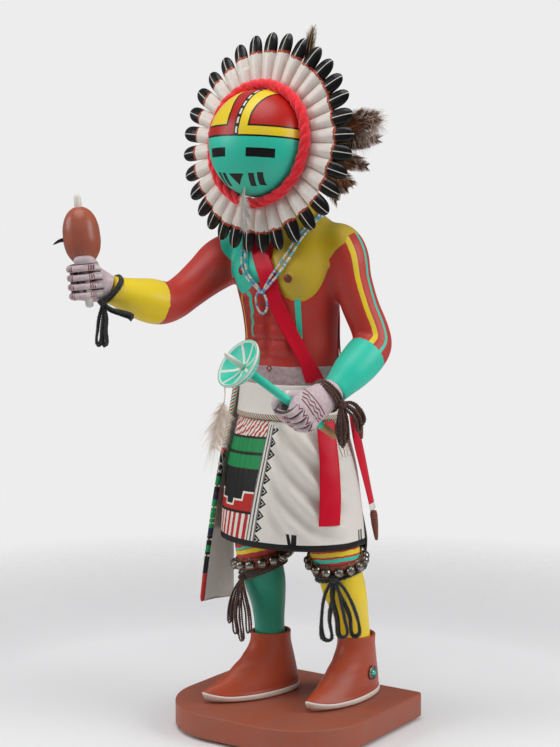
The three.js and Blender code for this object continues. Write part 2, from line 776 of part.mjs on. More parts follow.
// The sash panel at the right hip: points of its front edge, and where each row's back edge lies from it
const SASH_ROWS = [
  // x, y, z of the front edge, then x, y, z from there to the back edge
  [-35.4, -6, 205, -6, 22, 0],
  [-37.6, -8, 190, -6.5, 28, 0],
  [-42, -10.5, 165, -7.5, 33, -0.5],
  [-46.5, -13, 136, -8, 35, -1],
  [-50.5, -15.5, 105, -6, 36, -1.5],
  [-53.2, -17.3, 82, -3, 37, -2.5],
  [-55.6, -18.2, 60.5, 0, 37, -3.5],
];
const SASH_NOMINAL_WIDTH = 38;
const SASH_BOW = 3.5;

// Rounded front edge, plain back edge, and a face bowed outwards
function sashSolid() {
  const half = SASH_THICKNESS / 2;
  const rings = SASH_ROWS.map(([x, y, z, bx, by, bz]) => {
    const front = spot(x, y, z);
    const across = spot(bx, by, bz).multiplyScalar(SASH_WIDTH / SASH_NOMINAL_WIDTH);
    const outward = new THREE.Vector3(-across.y, across.x, 0).normalize();
    const row = (share, side) => {
      const bow = SASH_BOW * Math.sin(share * Math.PI) + side;
      return front.clone().addScaledVector(across, share).addScaledVector(outward, bow);
    };
    const shares = [0.04, 0.25, 0.5, 0.75, 0.98];
    return [
      row(0, 0),
      ...shares.map((share) => row(share, half)),
      row(1, 0),
      ...shares.toReversed().map((share) => row(share, -half)),
    ];
  });
  return clearOfCarving(loft(rings));
}

const RIBBON_LIFT = CLEARANCE + 0.5;

// A band laid on a surface; each row is [angle, height] of one edge and then of the other
function laidBand(pointOn, rows, lift) {
  const rings = rows.map(([angleA, heightA, angleB, heightB]) => {
    const ring = (out) =>
      [0, 0.5, 1].map((share) => {
        const angle = (angleA + (angleB - angleA) * share) * DEGREE;
        return pointOn(angle, heightA + (heightB - heightA) * share, out);
      });
    return [...ring(lift), ...ring(lift + RIBBON_THICKNESS).toReversed()];
  });
  return loft(rings);
}

// A point on a stack of oval levels; the angle runs from the front towards the dancer's left
function ovalPoint(levels, angle, height, out) {
  const above = Math.max(1, levels.findIndex(([z]) => z >= height));
  const [low, high] = [levels[above - 1], levels[above]];
  const share = (height - low.at(0)) / (high.at(0) - low.at(0));
  const [forward, half, depth] = [1, 2, 3].map((i) => low[i] + (high[i] - low[i]) * share);
  return figureCentre(height, forward)
    .addScaledVector(BODY_LEFT, (half * SHARE + out) * Math.sin(angle))
    .addScaledVector(BODY_FRONT, (depth * SHARE + out) * Math.cos(angle));
}
const torsoPoint = (angle, height, out) => ovalPoint(TORSO, angle, height, out);
const kiltPoint = (angle, height, out) =>
  ovalPoint(KILT.map(([z, half, depth]) => [z, 0, half, depth]), angle, height, out);

// From the left hip across the chest, over the right shoulder and down the back
const SHOULDER_RIBBON = [
  [52, 211, 78, 211],
  [46, 221, 70, 218.5],
  [37, 231, 58, 228.5],
  [27.9, 241.3, 48.2, 238.5],
  [16.6, 254.5, 36.4, 251.8],
  [7.7, 267.6, 26.8, 265],
  [1, 281, 20.3, 281],
  [-9, 292, 10, 292],
  [-20, 300, 0, 302],
  [-34, 304.5, -15, 308.5],
  [-48, 306.5, -32, 313],
  [-64, 308, -52, 316.5],
  [-78, 309, -74, 318],
  [-90, 309.5, -90, 318.5],
  [-102, 309, -106, 318],
  [-116, 308, -128, 316.5],
  [-132, 306.5, -148, 313],
  [-146, 304.5, -165, 308.5],
  [-158, 300, -178, 302],
  [-166, 292, -188, 292],
  [-176, 281, -197, 281],
  [-188, 268, -208, 268],
  [-199, 255, -220, 255],
  [-210, 243, -232, 243],
  [-220, 232, -244, 232],
  [-228, 221, -253, 221],
  [-236, 211, -262, 211],
];
const shoulderRibbonSolid = () => clearOfCarving(laidBand(torsoPoint, SHOULDER_RIBBON, RIBBON_LIFT));

// A ribbon end that hangs from the belt over the kilt, at the left hip
const HIP_RIBBON = [
  [62, 186.4, 84, 186.4],
  [60.5, 172, 81, 172],
  [58.5, 155, 78, 155],
  [56.5, 136, 75.5, 136],
  [55.2, 122, 73.5, 122],
];
const hipRibbonSolid = () => clearOfCarving(laidBand(kiltPoint, HIP_RIBBON, RIBBON_LIFT + FOLD_DEPTH));

// The ribbon that hangs free at the left side, with its white end
const SIDE_RIBBON = [
  [40.9, 16, 190],
  [42.7, 19.5, 172],
  [46.2, 22.5, 152],
  [51.5, 24.5, 127.5],
];
const SIDE_RIBBON_ACROSS = new THREE.Vector3(-0.22, 0.975, 0);

function sideRibbonSolid() {
  const points = smooth(SIDE_RIBBON.map((row) => spot(...row)), 6);
  const out = new THREE.Vector3().crossVectors(SIDE_RIBBON_ACROSS, UP);
  const rings = points.map((p) => {
    const corner = (u, v) =>
      p
        .clone()
        .addScaledVector(SIDE_RIBBON_ACROSS, (u * RIBBON_WIDTH) / 2)
        .addScaledVector(out, (v * RIBBON_THICKNESS) / 2);
    return [corner(-1, -1), corner(1, -1), corner(1, 1), corner(-1, 1)];
  });
  return clearOfCarving(loft(rings));
}

// Small tapered drops with thread rings: [x, y, z of the top, x, y, z of the tip]
const DROPS = {
  side_drop: [51.6, 24.5, 126.9, 54, 25, 107],
  belt_drop: [45.2, 15.5, 194, 49, 14, 174],
};
const DROP_DIAMETER = 5.2;
// [share of the length, share of the girth]
const DROP_PROFILE = [
  [0, 0.75],
  [0.15, 1],
  [0.5, 0.86],
  [0.85, 0.55],
  [1, 0.3],
];

function dropSolid([x, y, z, tx, ty, tz]) {
  const [top, tip] = [spot(x, y, z), spot(tx, ty, tz)];
  const half = (DROP_DIAMETER / 2) * SHARE;
  const point = (share) => top.clone().lerp(tip, share);
  const stops = DROP_PROFILE.map(([share, girth]) => [point(share), half * girth]);
  return clearOfCarving(sweep(stops, ROD_SIDES, BODY_LEFT));
}

// Beads: two strands round the neck that cross at the breastbone, and a loop below
const NECKLACE_LIFT = 3.3;
const ROWS_IN_FRONT = 6;
const STRANDS_APART = 5;
const STRAND_SIDES = 3;
const NECKLACE_STEPS = 9;
const LOOP_STEPS = 8;
// [angle from the front in degrees, height] from the join up each side of the chest
const NECKLACE_SIDES = [
  [
    [15.7, 277.4],
    [22.6, 284.8],
    [26.2, 290.6],
    [31.7, 300],
    [40, 307.9],
    [62, 314],
    [95, 318],
    [135, 320],
    [181, 320],
  ],
  [
    [-1, 274.5],
    [-8, 279.3],
    [-12, 285],
    [-15, 291],
    [-20, 300],
    [-34, 307.9],
    [-62, 314],
    [-95, 318],
    [-135, 320],
    [-181, 320],
  ],
];
const NECKLACE_JOIN = [6.4, 267.5];
const NECKLACE_LOOP = { angle: 4.5, height: 261.5, halfAngle: 6.5, halfHeight: 7 };

function necklaceSolid(ribbon) {
  const onChest = (angle, height) => torsoPoint(angle * DEGREE, height, NECKLACE_LIFT);
  const parts = [];
  for (const side of NECKLACE_SIDES) {
    for (const shift of [0, STRANDS_APART * Math.sign(side.at(-1)[0])]) {
      const points = side.map(([angle, height], i) =>
        i < ROWS_IN_FRONT ? onChest(angle + shift, height) : onChest(angle, height - Math.abs(shift) * 0.25),
      );
      parts.push(strand([onChest(...NECKLACE_JOIN), ...points], BEAD_DIAMETER, STRAND_SIDES, NECKLACE_STEPS));
    }
  }
  const { angle, height, halfAngle, halfHeight } = NECKLACE_LOOP;
  const loop = Array.from({ length: LOOP_STEPS + 1 }, (_, i) => {
    const turn = (i / LOOP_STEPS) * 2 * Math.PI;
    return onChest(angle + halfAngle * Math.sin(turn), height + halfHeight * Math.cos(turn));
  });
  parts.push(strand(loop, BEAD_DIAMETER, STRAND_SIDES, LOOP_STEPS));
  return mainBody(union(parts).subtract(carved(CLEARANCE)).subtract(ribbon));
}

// Yarn tied round a limb: a ring and loops that hang from its knot
const YARN_SIDES = 4;
const YARN_STEPS = 4;
const YARN_SWELL = 1.25;

function yarnTieSolid({ centre, axis, radius, turns, towards, loops }) {
  const yarn = YARN_DIAMETER * SHARE;
  const out = towards.clone().addScaledVector(axis, -towards.dot(axis)).normalize();
  const knot = centre.clone().addScaledVector(out, radius * SHARE + yarn * 1.3);
  const parts = [bandSolid(centre, axis, radius * SHARE, yarn, (turns * yarn) / 2)];
  parts.push(solidFrom(new THREE.IcosahedronGeometry(yarn * 1.3, 0).translate(knot.x, knot.y, knot.z)));
  for (const loop of loops) {
    const points = [knot, ...loop.map((p) => knot.clone().add(spot(...p)))];
    parts.push(strand(points, YARN_SWELL * yarn, YARN_SIDES, YARN_STEPS));
  }
  return clearOfCarving(union(parts));
}

const axisOf = (rows, from, to) =>
  spot(...rows[to].slice(0, 3))
    .sub(spot(...rows[from].slice(0, 3)))
    .normalize();

// Every tie: where it sits, and its hanging loops as steps from the knot
const TIES = {
  right_wrist_yarn: {
    yarn: "blackYarn",
    centre: spot(-73.6, -82.8, 269.4),
    axis: axisOf(ARMS.right, 8, 10),
    radius: 9.4,
    turns: 2,
    towards: new THREE.Vector3(0.35, -0.3, -1),
    loops: [
      [[-1, -1.5, -9], [-2, -2, -18], [-2.5, -2, -25]],
      [[1.5, -1, -9], [1, -0.5, -18], [0.8, 0, -26]],
      [[4.5, 1.5, -4], [10, 4.5, -6], [15.5, 8, -9]],
    ],
  },
  left_wrist_yarn: {
    yarn: "brownYarn",
    centre: spot(50, -19, 209.2),
    axis: axisOf(ARMS.left, 9, 10),
    radius: 8.8,
    turns: 3,
    towards: new THREE.Vector3(1, -0.2, -0.6),
    loops: [
      [[-1, 0, -8], [-2.5, 0.5, -16], [-1, 1, -23]],
      [[1.5, 0.5, -8], [1.5, 1, -16], [1, 2, -22]],
      [[3.5, 4, -2], [7, 8, -7], [8.5, 10, -13]],
    ],
  },
  right_knee_yarn: {
    yarn: "brownYarn",
    centre: spot(-15.2, -4, 84.5),
    axis: new THREE.Vector3(-0.2, 0.14, 1).normalize(),
    radius: 15,
    turns: 2,
    towards: new THREE.Vector3(-0.4, -1, 0),
    loops: [
      [[-2.5, -2.5, -10], [-4.5, -2, -24], [-3, 0, -35]],
      [[0.5, -3, -10], [0, -3.5, -26], [0.5, -2.5, -40]],
      [[4, -2.5, -10], [5, -2.5, -22], [4, -1.5, -36]],
    ],
  },
  left_knee_yarn: {
    yarn: "blackYarn",
    centre: spot(35.2, 11, 86),
    axis: new THREE.Vector3(0.05, 0.16, 1).normalize(),
    radius: 15.6,
    turns: 2,
    towards: new THREE.Vector3(0.55, -0.83, 0),
    loops: [
      [[-4, -2, -10], [-7, -3, -26], [-5, -2, -41]],
      [[-1.5, -3, -12], [-2, -3, -28], [-2, -2, -40]],
      [[2, -3, -12], [4, -3, -26], [4, -1.5, -38]],
      [[6, -1, -8], [11, 1, -22], [11.5, 3, -34]],
    ],
  },
};

// Sleigh bells on a strap above each knee tie
const KNEES = {
  right: { centre: spot(-16.4, -4.8, 93.5), radius: 16.4, tilt: new THREE.Vector3(-0.2, 0.14, 1) },
  left: { centre: spot(33.5, 8, 95.5), radius: 16.6, tilt: new THREE.Vector3(0.05, 0.16, 1) },
};

// The bells sit round the limb like beads on the strap: each takes two wide rows and a narrow one
function kneeBellsSolid(side) {
  const { centre, radius, tilt } = KNEES[side];
  const axis = tilt.clone().normalize();
  const first = BODY_LEFT.clone().addScaledVector(axis, -BODY_LEFT.dot(axis)).normalize();
  const second = new THREE.Vector3().crossVectors(axis, first);
  const inner = radius * SHARE + CLEARANCE;
  const half = BELL_DIAMETER / 2;
  const strap = [
    [0, 1.8],
    [1.6, 1.6],
    [2.4, 0],
    [1.6, -1.6],
    [0, -1.8],
  ];
  const bell = [
    [0, 1.8],
    [half * 0.8, half * 0.72],
    [half * 1.95, half * 0.1],
    [half * 1.1, -half * 1.15],
    [0, -1.8],
  ];
  const rings = [];
  for (let i = 0; i < 3 * BELLS_PER_KNEE; i++) {
    const place = Math.floor(i / 3) + [0, 0.32, 0.68][i % 3];
    const angle = (place / BELLS_PER_KNEE) * 2 * Math.PI;
    const out = first.clone().multiplyScalar(Math.cos(angle)).addScaledVector(second, Math.sin(angle));
    const section = i % 3 ? bell : strap;
    const at = (away, up) => centre.clone().addScaledVector(out, inner + away).addScaledVector(axis, up);
    rings.push(section.map(([away, up]) => at(away, up)));
  }
  return clearOfCarving(loft(rings, true));
}

// A silver button on the outside of the left boot
const CONCHO_SIDES = 14;

function conchoSolid() {
  const { x, y, yaw } = BOOTS.left;
  const ahead = facing(yaw);
  const out = new THREE.Vector3().crossVectors(UP, ahead);
  const start = spot(x, y, 17).addScaledVector(ahead, -1).addScaledVector(out, 9 * SHARE);
  const face = start.clone().addScaledVector(out, 5.4 * SHARE);
  const half = CONCHO_DIAMETER / 2;
  const edge = face.clone().addScaledVector(out, -1);
  return clearOfCarving(sweep([[start, half], [edge, half], [face, half * 0.5]], CONCHO_SIDES, UP));
}

function geometryOf(solid) {
  const mesh = solid.getMesh();
  const positions = new Float32Array(mesh.numVert * 3);
  for (let i = 0; i < mesh.numVert; i++) {
    for (let k = 0; k < 3; k++) positions[3 * i + k] = mesh.vertProperties[i * mesh.numProp + k];
  }
  const geometry = new THREE.BufferGeometry();
  geometry.setAttribute("position", new THREE.BufferAttribute(positions, 3));
  geometry.setIndex(new THREE.BufferAttribute(new Uint32Array(mesh.triVerts), 1));
  geometry.computeVertexNormals();
  return geometry;
}

const PAINTS = {
  board: ["#a3523f", 0.6],
  red: ["#a8352b", 0.55],
  ruff: ["#ece8e0", 0.5],
  scarlet: ["#d3121d", 0.9],
  plume: ["#6b4226", 0.85],
  down: ["#d8cbbb", 0.95],
  gourd: ["#8f4029", 0.4],
  bone: ["#ece6da", 0.5],
  dark: ["#3a2220", 0.5],
  turquoise: ["#3fbfa6", 0.45],
  sash: ["#e6e1d8", 0.6],
  ribbon: ["#b8101f", 0.35],
  cord: ["#8a4a35", 0.8],
  beads: ["#6fb3d3", 0.3],
  brownYarn: ["#33201a", 0.95],
  blackYarn: ["#15151a", 0.95],
  nickel: ["#c9c6c0", 0.25, 1],
};

function place(group, name, solid, paint) {
  const [color, roughness, metalness = 0] = PAINTS[paint];
  const finish = new THREE.MeshStandardMaterial({ color, roughness, metalness });
  const mesh = new THREE.Mesh(geometryOf(solid), finish);
  mesh.name = name;
  group.add(mesh);
}

const doll = new THREE.Group();
place(doll, "board", boardSolid(), "board");

const dancer = new THREE.Group();
dancer.position.z = BOARD_THICKNESS;
doll.add(dancer);

const gourd = gourdSolid();
const shoulderRibbon = shoulderRibbonSolid();

place(dancer, "carved_figure", figureSolid(), "red");
place(dancer, "feather_ruff", ruffSolid(), "ruff");
place(dancer, "yarn_roll", yarnRollSolid(), "scarlet");
place(dancer, "crown_plume", crownPlumeSolid(), "plume");
place(dancer, "back_plumes", backPlumesSolid(), "plume");
place(dancer, "chin_plume", chinPlumeSolid(), "down");
place(dancer, "rattle_handle", rattleRod(0), "bone");
place(dancer, "rattle_gourd", gourd, "gourd");
place(dancer, "rattle_peg", gourdPegSolid(gourd), "dark");
place(dancer, "staff_rod", staffRod(0), "turquoise");
place(dancer, "staff_cup", staffCupSolid(), "turquoise");
place(dancer, "staff_spike", staffSpikeSolid(), "bone");
place(dancer, "staff_plume", staffPlumeSolid(), "down");
place(dancer, "hip_sash", sashSolid(), "sash");
place(dancer, "shoulder_ribbon", shoulderRibbon, "ribbon");
place(dancer, "hip_ribbon", hipRibbonSolid(), "ribbon");
place(dancer, "side_ribbon", sideRibbonSolid(), "ribbon");
place(dancer, "necklace", necklaceSolid(shoulderRibbon), "beads");
place(dancer, "boot_concho", conchoSolid(), "nickel");
for (const [name, row] of Object.entries(DROPS)) place(dancer, name, dropSolid(row), "cord");
for (const [name, tie] of Object.entries(TIES)) place(dancer, name, yarnTieSolid(tie), tie.yarn);
for (const side of ["right", "left"]) place(dancer, side + "_knee_bells", kneeBellsSolid(side), "nickel");

export default doll;
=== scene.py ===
import math

import bpy
import numpy as np
from bpy.props import FloatProperty, FloatVectorProperty, IntProperty, PointerProperty
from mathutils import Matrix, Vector
from numpy import array, asarray, clip, column_stack, concatenate, cos, interp, linspace, pi
from numpy import radians, sin, stack


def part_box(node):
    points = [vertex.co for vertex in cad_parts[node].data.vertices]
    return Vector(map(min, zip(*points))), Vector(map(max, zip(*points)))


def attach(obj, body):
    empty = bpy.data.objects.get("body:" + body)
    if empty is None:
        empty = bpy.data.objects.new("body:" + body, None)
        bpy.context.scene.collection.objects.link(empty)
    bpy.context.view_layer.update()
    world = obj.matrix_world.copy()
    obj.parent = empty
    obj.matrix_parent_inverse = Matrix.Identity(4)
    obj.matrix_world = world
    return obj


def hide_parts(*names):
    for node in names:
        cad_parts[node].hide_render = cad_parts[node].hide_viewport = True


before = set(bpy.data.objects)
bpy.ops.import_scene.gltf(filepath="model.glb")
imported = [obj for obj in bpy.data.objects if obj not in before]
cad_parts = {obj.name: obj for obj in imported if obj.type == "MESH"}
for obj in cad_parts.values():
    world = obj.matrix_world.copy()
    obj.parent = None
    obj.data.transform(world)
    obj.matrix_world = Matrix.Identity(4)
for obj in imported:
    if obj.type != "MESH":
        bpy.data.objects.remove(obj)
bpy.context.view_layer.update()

bl_info = {
    "name": "Kachina doll",
    "version": (1, 0, 0),
    "blender": (4, 5, 0),
    "location": "View3D > Sidebar > Doll",
    "description": "Carves, paints and trims a kachina doll round its packed solids",
    "category": "Object",
}

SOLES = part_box("board")[1].z * 1000
UP = np.array([0.0, 0.0, 1.0])

# Numbers and directions of the carving, in millimetres from the board's centre at the soles


def unit(vector):
    vector = asarray(vector, float)
    return vector / np.maximum(np.linalg.norm(vector, axis=-1, keepdims=True), 1e-9)


def facing(yaw):
    """The direction that faces front after a turn towards the dancer's right."""
    turn = math.radians(yaw)
    return array([-math.sin(turn), -math.cos(turn), 0.0])


BODY_FRONT = facing(8)
BODY_LEFT = np.cross(UP, BODY_FRONT)
BODY_AXIS = array([-1.5, 9.0, 0.0])
TORSO = [
    # height, shift forward, half width, half depth
    (180, 0, 33, 26),
    (214, 0, 33.5, 27),
    (226, 0, 33.5, 26.5),
    (239, 0.5, 33, 26),
    (254, 1.5, 34.5, 26.5),
    (268, 2.5, 37.5, 28),
    (281, 3, 40.5, 29),
    (292, 1.5, 42, 27.5),
    (301, 0, 40.5, 24.5),
    (309, -1, 36, 20),
    (315, -1, 26, 16.5),
    (322, 2, 15, 14),
    (345, 8, 14, 14),
]
KILT = [
    # height, half width, half depth
    (105, 52, 40),
    (118, 51.2, 39.6),
    (136, 49.5, 38.5),
    (155, 46, 36.2),
    (172, 41.4, 33.2),
    (186, 37.4, 30.2),
]
BELT = [
    (186.6, 37, 29.9),
    (187, 38.3, 31.2),
    (188.2, 38.9, 31.8),
    (189.8, 38.6, 31.5),
    (199, 37.3, 30.6),
    (207.8, 36.2, 29.9),
    (208.8, 35.9, 29.6),
    (209.2, 35, 28.6),
]
WAISTBAND = [
    (208, 34.2, 27.6),
    (210, 34.3, 27.7),
    (219.6, 34.2, 27.5),
    (220.8, 33.9, 27.1),
    (221.2, 33, 26.2),
]
ARMS = {
    "right": [
        # x, y, z, half width
        (-32, 9, 292, 13),
        (-44, 8, 290, 16),
        (-51, 0, 285, 16.4),
        (-54, -14, 277, 14),
        (-56.5, -30, 268, 12.4),
        (-58.5, -43, 262, 12.6),
        (-61, -52, 261, 14),
        (-64.5, -62, 263, 14),
        (-69, -73, 266, 11.6),
        (-73, -81.5, 269, 9.4),
        (-75, -86, 270.5, 9),
    ],
    "left": [
        (26, 8, 298, 12),
        (34, 7.5, 298, 14.5),
        (40.5, 7, 291, 14.5),
        (44.5, 8, 276, 12.8),
        (49.5, 11, 259, 11.8),
        (54.5, 14.5, 244, 11.8),
        (57, 13, 235, 12.4),
        (56, 4, 227.5, 13.2),
        (53.5, -7, 219, 12),
        (51, -15.5, 212, 9.6),
        (49.5, -20.5, 208, 8.4),
    ],
}
LEGS = {
    "right": [
        (-20, -2, 128, 16.5),
        (-18, -4, 110, 16.5),
        (-17, -5, 98, 16),
        (-15.5, -4.5, 88, 14.2),
        (-15, -2.5, 77, 13.3),
        (-15.5, 2, 62, 11.2),
        (-16.5, 5, 48, 10),
        (-17, 7, 32, 10),
    ],
    "left": [
        (30, 6, 128, 16),
        (32, 7, 110, 16),
        (33.5, 8, 98, 16),
        (35, 10.5, 88, 14.6),
        (36, 13, 77, 14),
        (36.5, 20, 62, 12),
        (35.5, 27, 48, 10.4),
        (35, 31, 32, 10),
    ],
}
BOOTS = {"right": (-17, 7, 21), "left": (35, 31, 4)}
BOOT_LEVELS = [
    # height, heel behind the ankle, toe ahead of it, half width, lift of the toe
    (0, 20.5, 46, 12.5, 0),
    (1.5, 22.5, 52, 14.4, 2.5),
    (4, 22.5, 53.5, 14.8, 3.6),
    (6, 21.5, 51, 13.8, 3.2),
    (10, 21, 45, 13.4, 1.6),
    (15, 20, 37, 12.8, 0),
    (21, 18.5, 28.5, 12.2, 0),
    (28, 16.5, 20, 11.8, 0),
    (36, 14.4, 14.6, 11.8, 0),
    (45, 14, 13.4, 12.4, 0),
    (46.5, 13.2, 12.6, 11.6, 0),
]

HEAD_CENTRE = array([-4.8, -16.2, 362.0])
FACE = facing(5.5) * math.cos(math.radians(6)) + UP * math.sin(math.radians(6))
CHEEK = unit(np.cross(UP, FACE))
CROWN = np.cross(FACE, CHEEK)
MASK_RADIUS, MASK_BULGE, MASK_SET_OUT = 35.0, 30.0, 6.0
HEAD_BACK, HEAD_BLUNTNESS = 38.0, 0.75
RUFF_FEATHERS = 32

RATTLE_LOW, RATTLE_HIGH = array([-80.8, -98.2, 259.5]), array([-86.8, -102.6, 331.0])
STAFF_LOW, STAFF_SIGHT = array([49.3, -17.5, 179.5]), array([23.2, -85.7, 229.4])
RATTLE_AXIS, STAFF_AXIS = unit(RATTLE_HIGH - RATTLE_LOW), unit(STAFF_SIGHT - STAFF_LOW)
ROD_LENGTH = 88.0
CUP_SEAT = STAFF_LOW + STAFF_AXIS * (ROD_LENGTH + 0.3)


def on_face(cheek, crown, out):
    """Points in the mask's frame: cheek to the dancer's left, crown to its top, out of the face."""
    cheek, crown, out = (asarray(v, float)[..., None] for v in (cheek, crown, out))
    return HEAD_CENTRE + cheek * CHEEK + crown * CROWN + out * FACE


# Curves and rings


def spaced(rows, at, free=False):
    """Rows interpolated along their first column; without overshoot unless free."""
    rows = asarray(rows, float)
    at = np.atleast_1d(asarray(at, float))
    x, y = rows[:, 0], rows[:, 1:]
    slope = np.diff(y, axis=0) / np.diff(x)[:, None]
    tangent = np.empty_like(y)
    tangent[0], tangent[-1] = slope[0], slope[-1]
    before, after = slope[:-1], slope[1:]
    if free:
        tangent[1:-1] = (y[2:] - y[:-2]) / (x[2:] - x[:-2])[:, None]
    else:
        same = before * after > 0
        tangent[1:-1] = np.where(same, 2 * before * after / np.where(same, before + after, 1), 0)
    row = clip(np.searchsorted(x, at, side="right") - 1, 0, len(x) - 2)
    step = (x[row + 1] - x[row])[:, None]
    share = clip((at - x[row])[:, None] / step, 0, 1)
    near, far = y[row], y[row + 1]
    return (
        near * (1 + 2 * share) * (1 - share) ** 2
        + tangent[row] * step * share * (1 - share) ** 2
        + far * share**2 * (3 - 2 * share)
        - tangent[row + 1] * step * share**2 * (1 - share)
    )


def along(points):
    """Distance along a path at each of its points."""
    points = asarray(points, float)
    return concatenate([[0], np.cumsum(np.linalg.norm(np.diff(points, axis=0), axis=1))])


def smooth(points, count):
    """Evenly spaced rows on a smooth curve; columns after the third are carried along."""
    points = asarray(points, float)
    length = along(points[:, :3])
    fine = spaced(column_stack([length, points]), linspace(0, length[-1], 8 * len(points)), True)
    length = along(fine[:, :3])
    at = linspace(0, length[-1], count)
    return column_stack([interp(at, length, fine[:, i]) for i in range(fine.shape[1])])


def frames(path, reference):
    """Directions ahead and across at each point of a path, turning as little as they can."""
    ahead = unit(np.gradient(path, axis=0))
    first = np.empty_like(ahead)
    turn = asarray(reference, float)
    for i, direction in enumerate(ahead):
        turn = unit(turn - direction * (turn @ direction))
        first[i] = turn
    return ahead, first, np.cross(ahead, first)


def rod_rings(path, half, sides, reference=UP, other=None):
    """Rings of a round or oval rod; half and other may change along the path."""
    path = asarray(path, float)
    _, first, second = frames(path, reference)
    half = np.broadcast_to(asarray(half, float), len(path))
    other = half if other is None else np.broadcast_to(asarray(other, float), len(path))
    turn = circle(sides)
    return (
        path[:, None]
        + first[:, None] * (half[:, None] * cos(turn))[..., None]
        + second[:, None] * (other[:, None] * sin(turn))[..., None]
    )


def on_oval(levels, angle, height, out=0.0):
    """Points round the body, out from ovals; a level is height, [shift], half width, half depth."""
    angle, height, out = np.broadcast_arrays(angle, height, out)
    rows = spaced(levels, height.ravel()).reshape(*height.shape, -1)
    shift = rows[..., :1] if rows.shape[-1] == 3 else 0.0
    return (
        BODY_AXIS
        + height[..., None] * UP
        + shift * BODY_FRONT
        + ((rows[..., -2] + out) * sin(angle))[..., None] * BODY_LEFT
        + ((rows[..., -1] + out) * cos(angle))[..., None] * BODY_FRONT
    )


def circle(count):
    """Angles of evenly spaced points once round."""
    return linspace(0, 2 * pi, count, endpoint=False)


def eased(count):
    """Shares from 0 to 1 that stand closer together at both ends."""
    return (1 - cos(linspace(0, pi, count))) / 2


def spun(turn, first, second):
    """Directions at an angle from the first to the second."""
    return cos(turn)[:, None] * first + sin(turn)[:, None] * second


def hump(value, centre, width):
    """A soft bump of height one."""
    return np.exp(-(((value - centre) / width) ** 2))


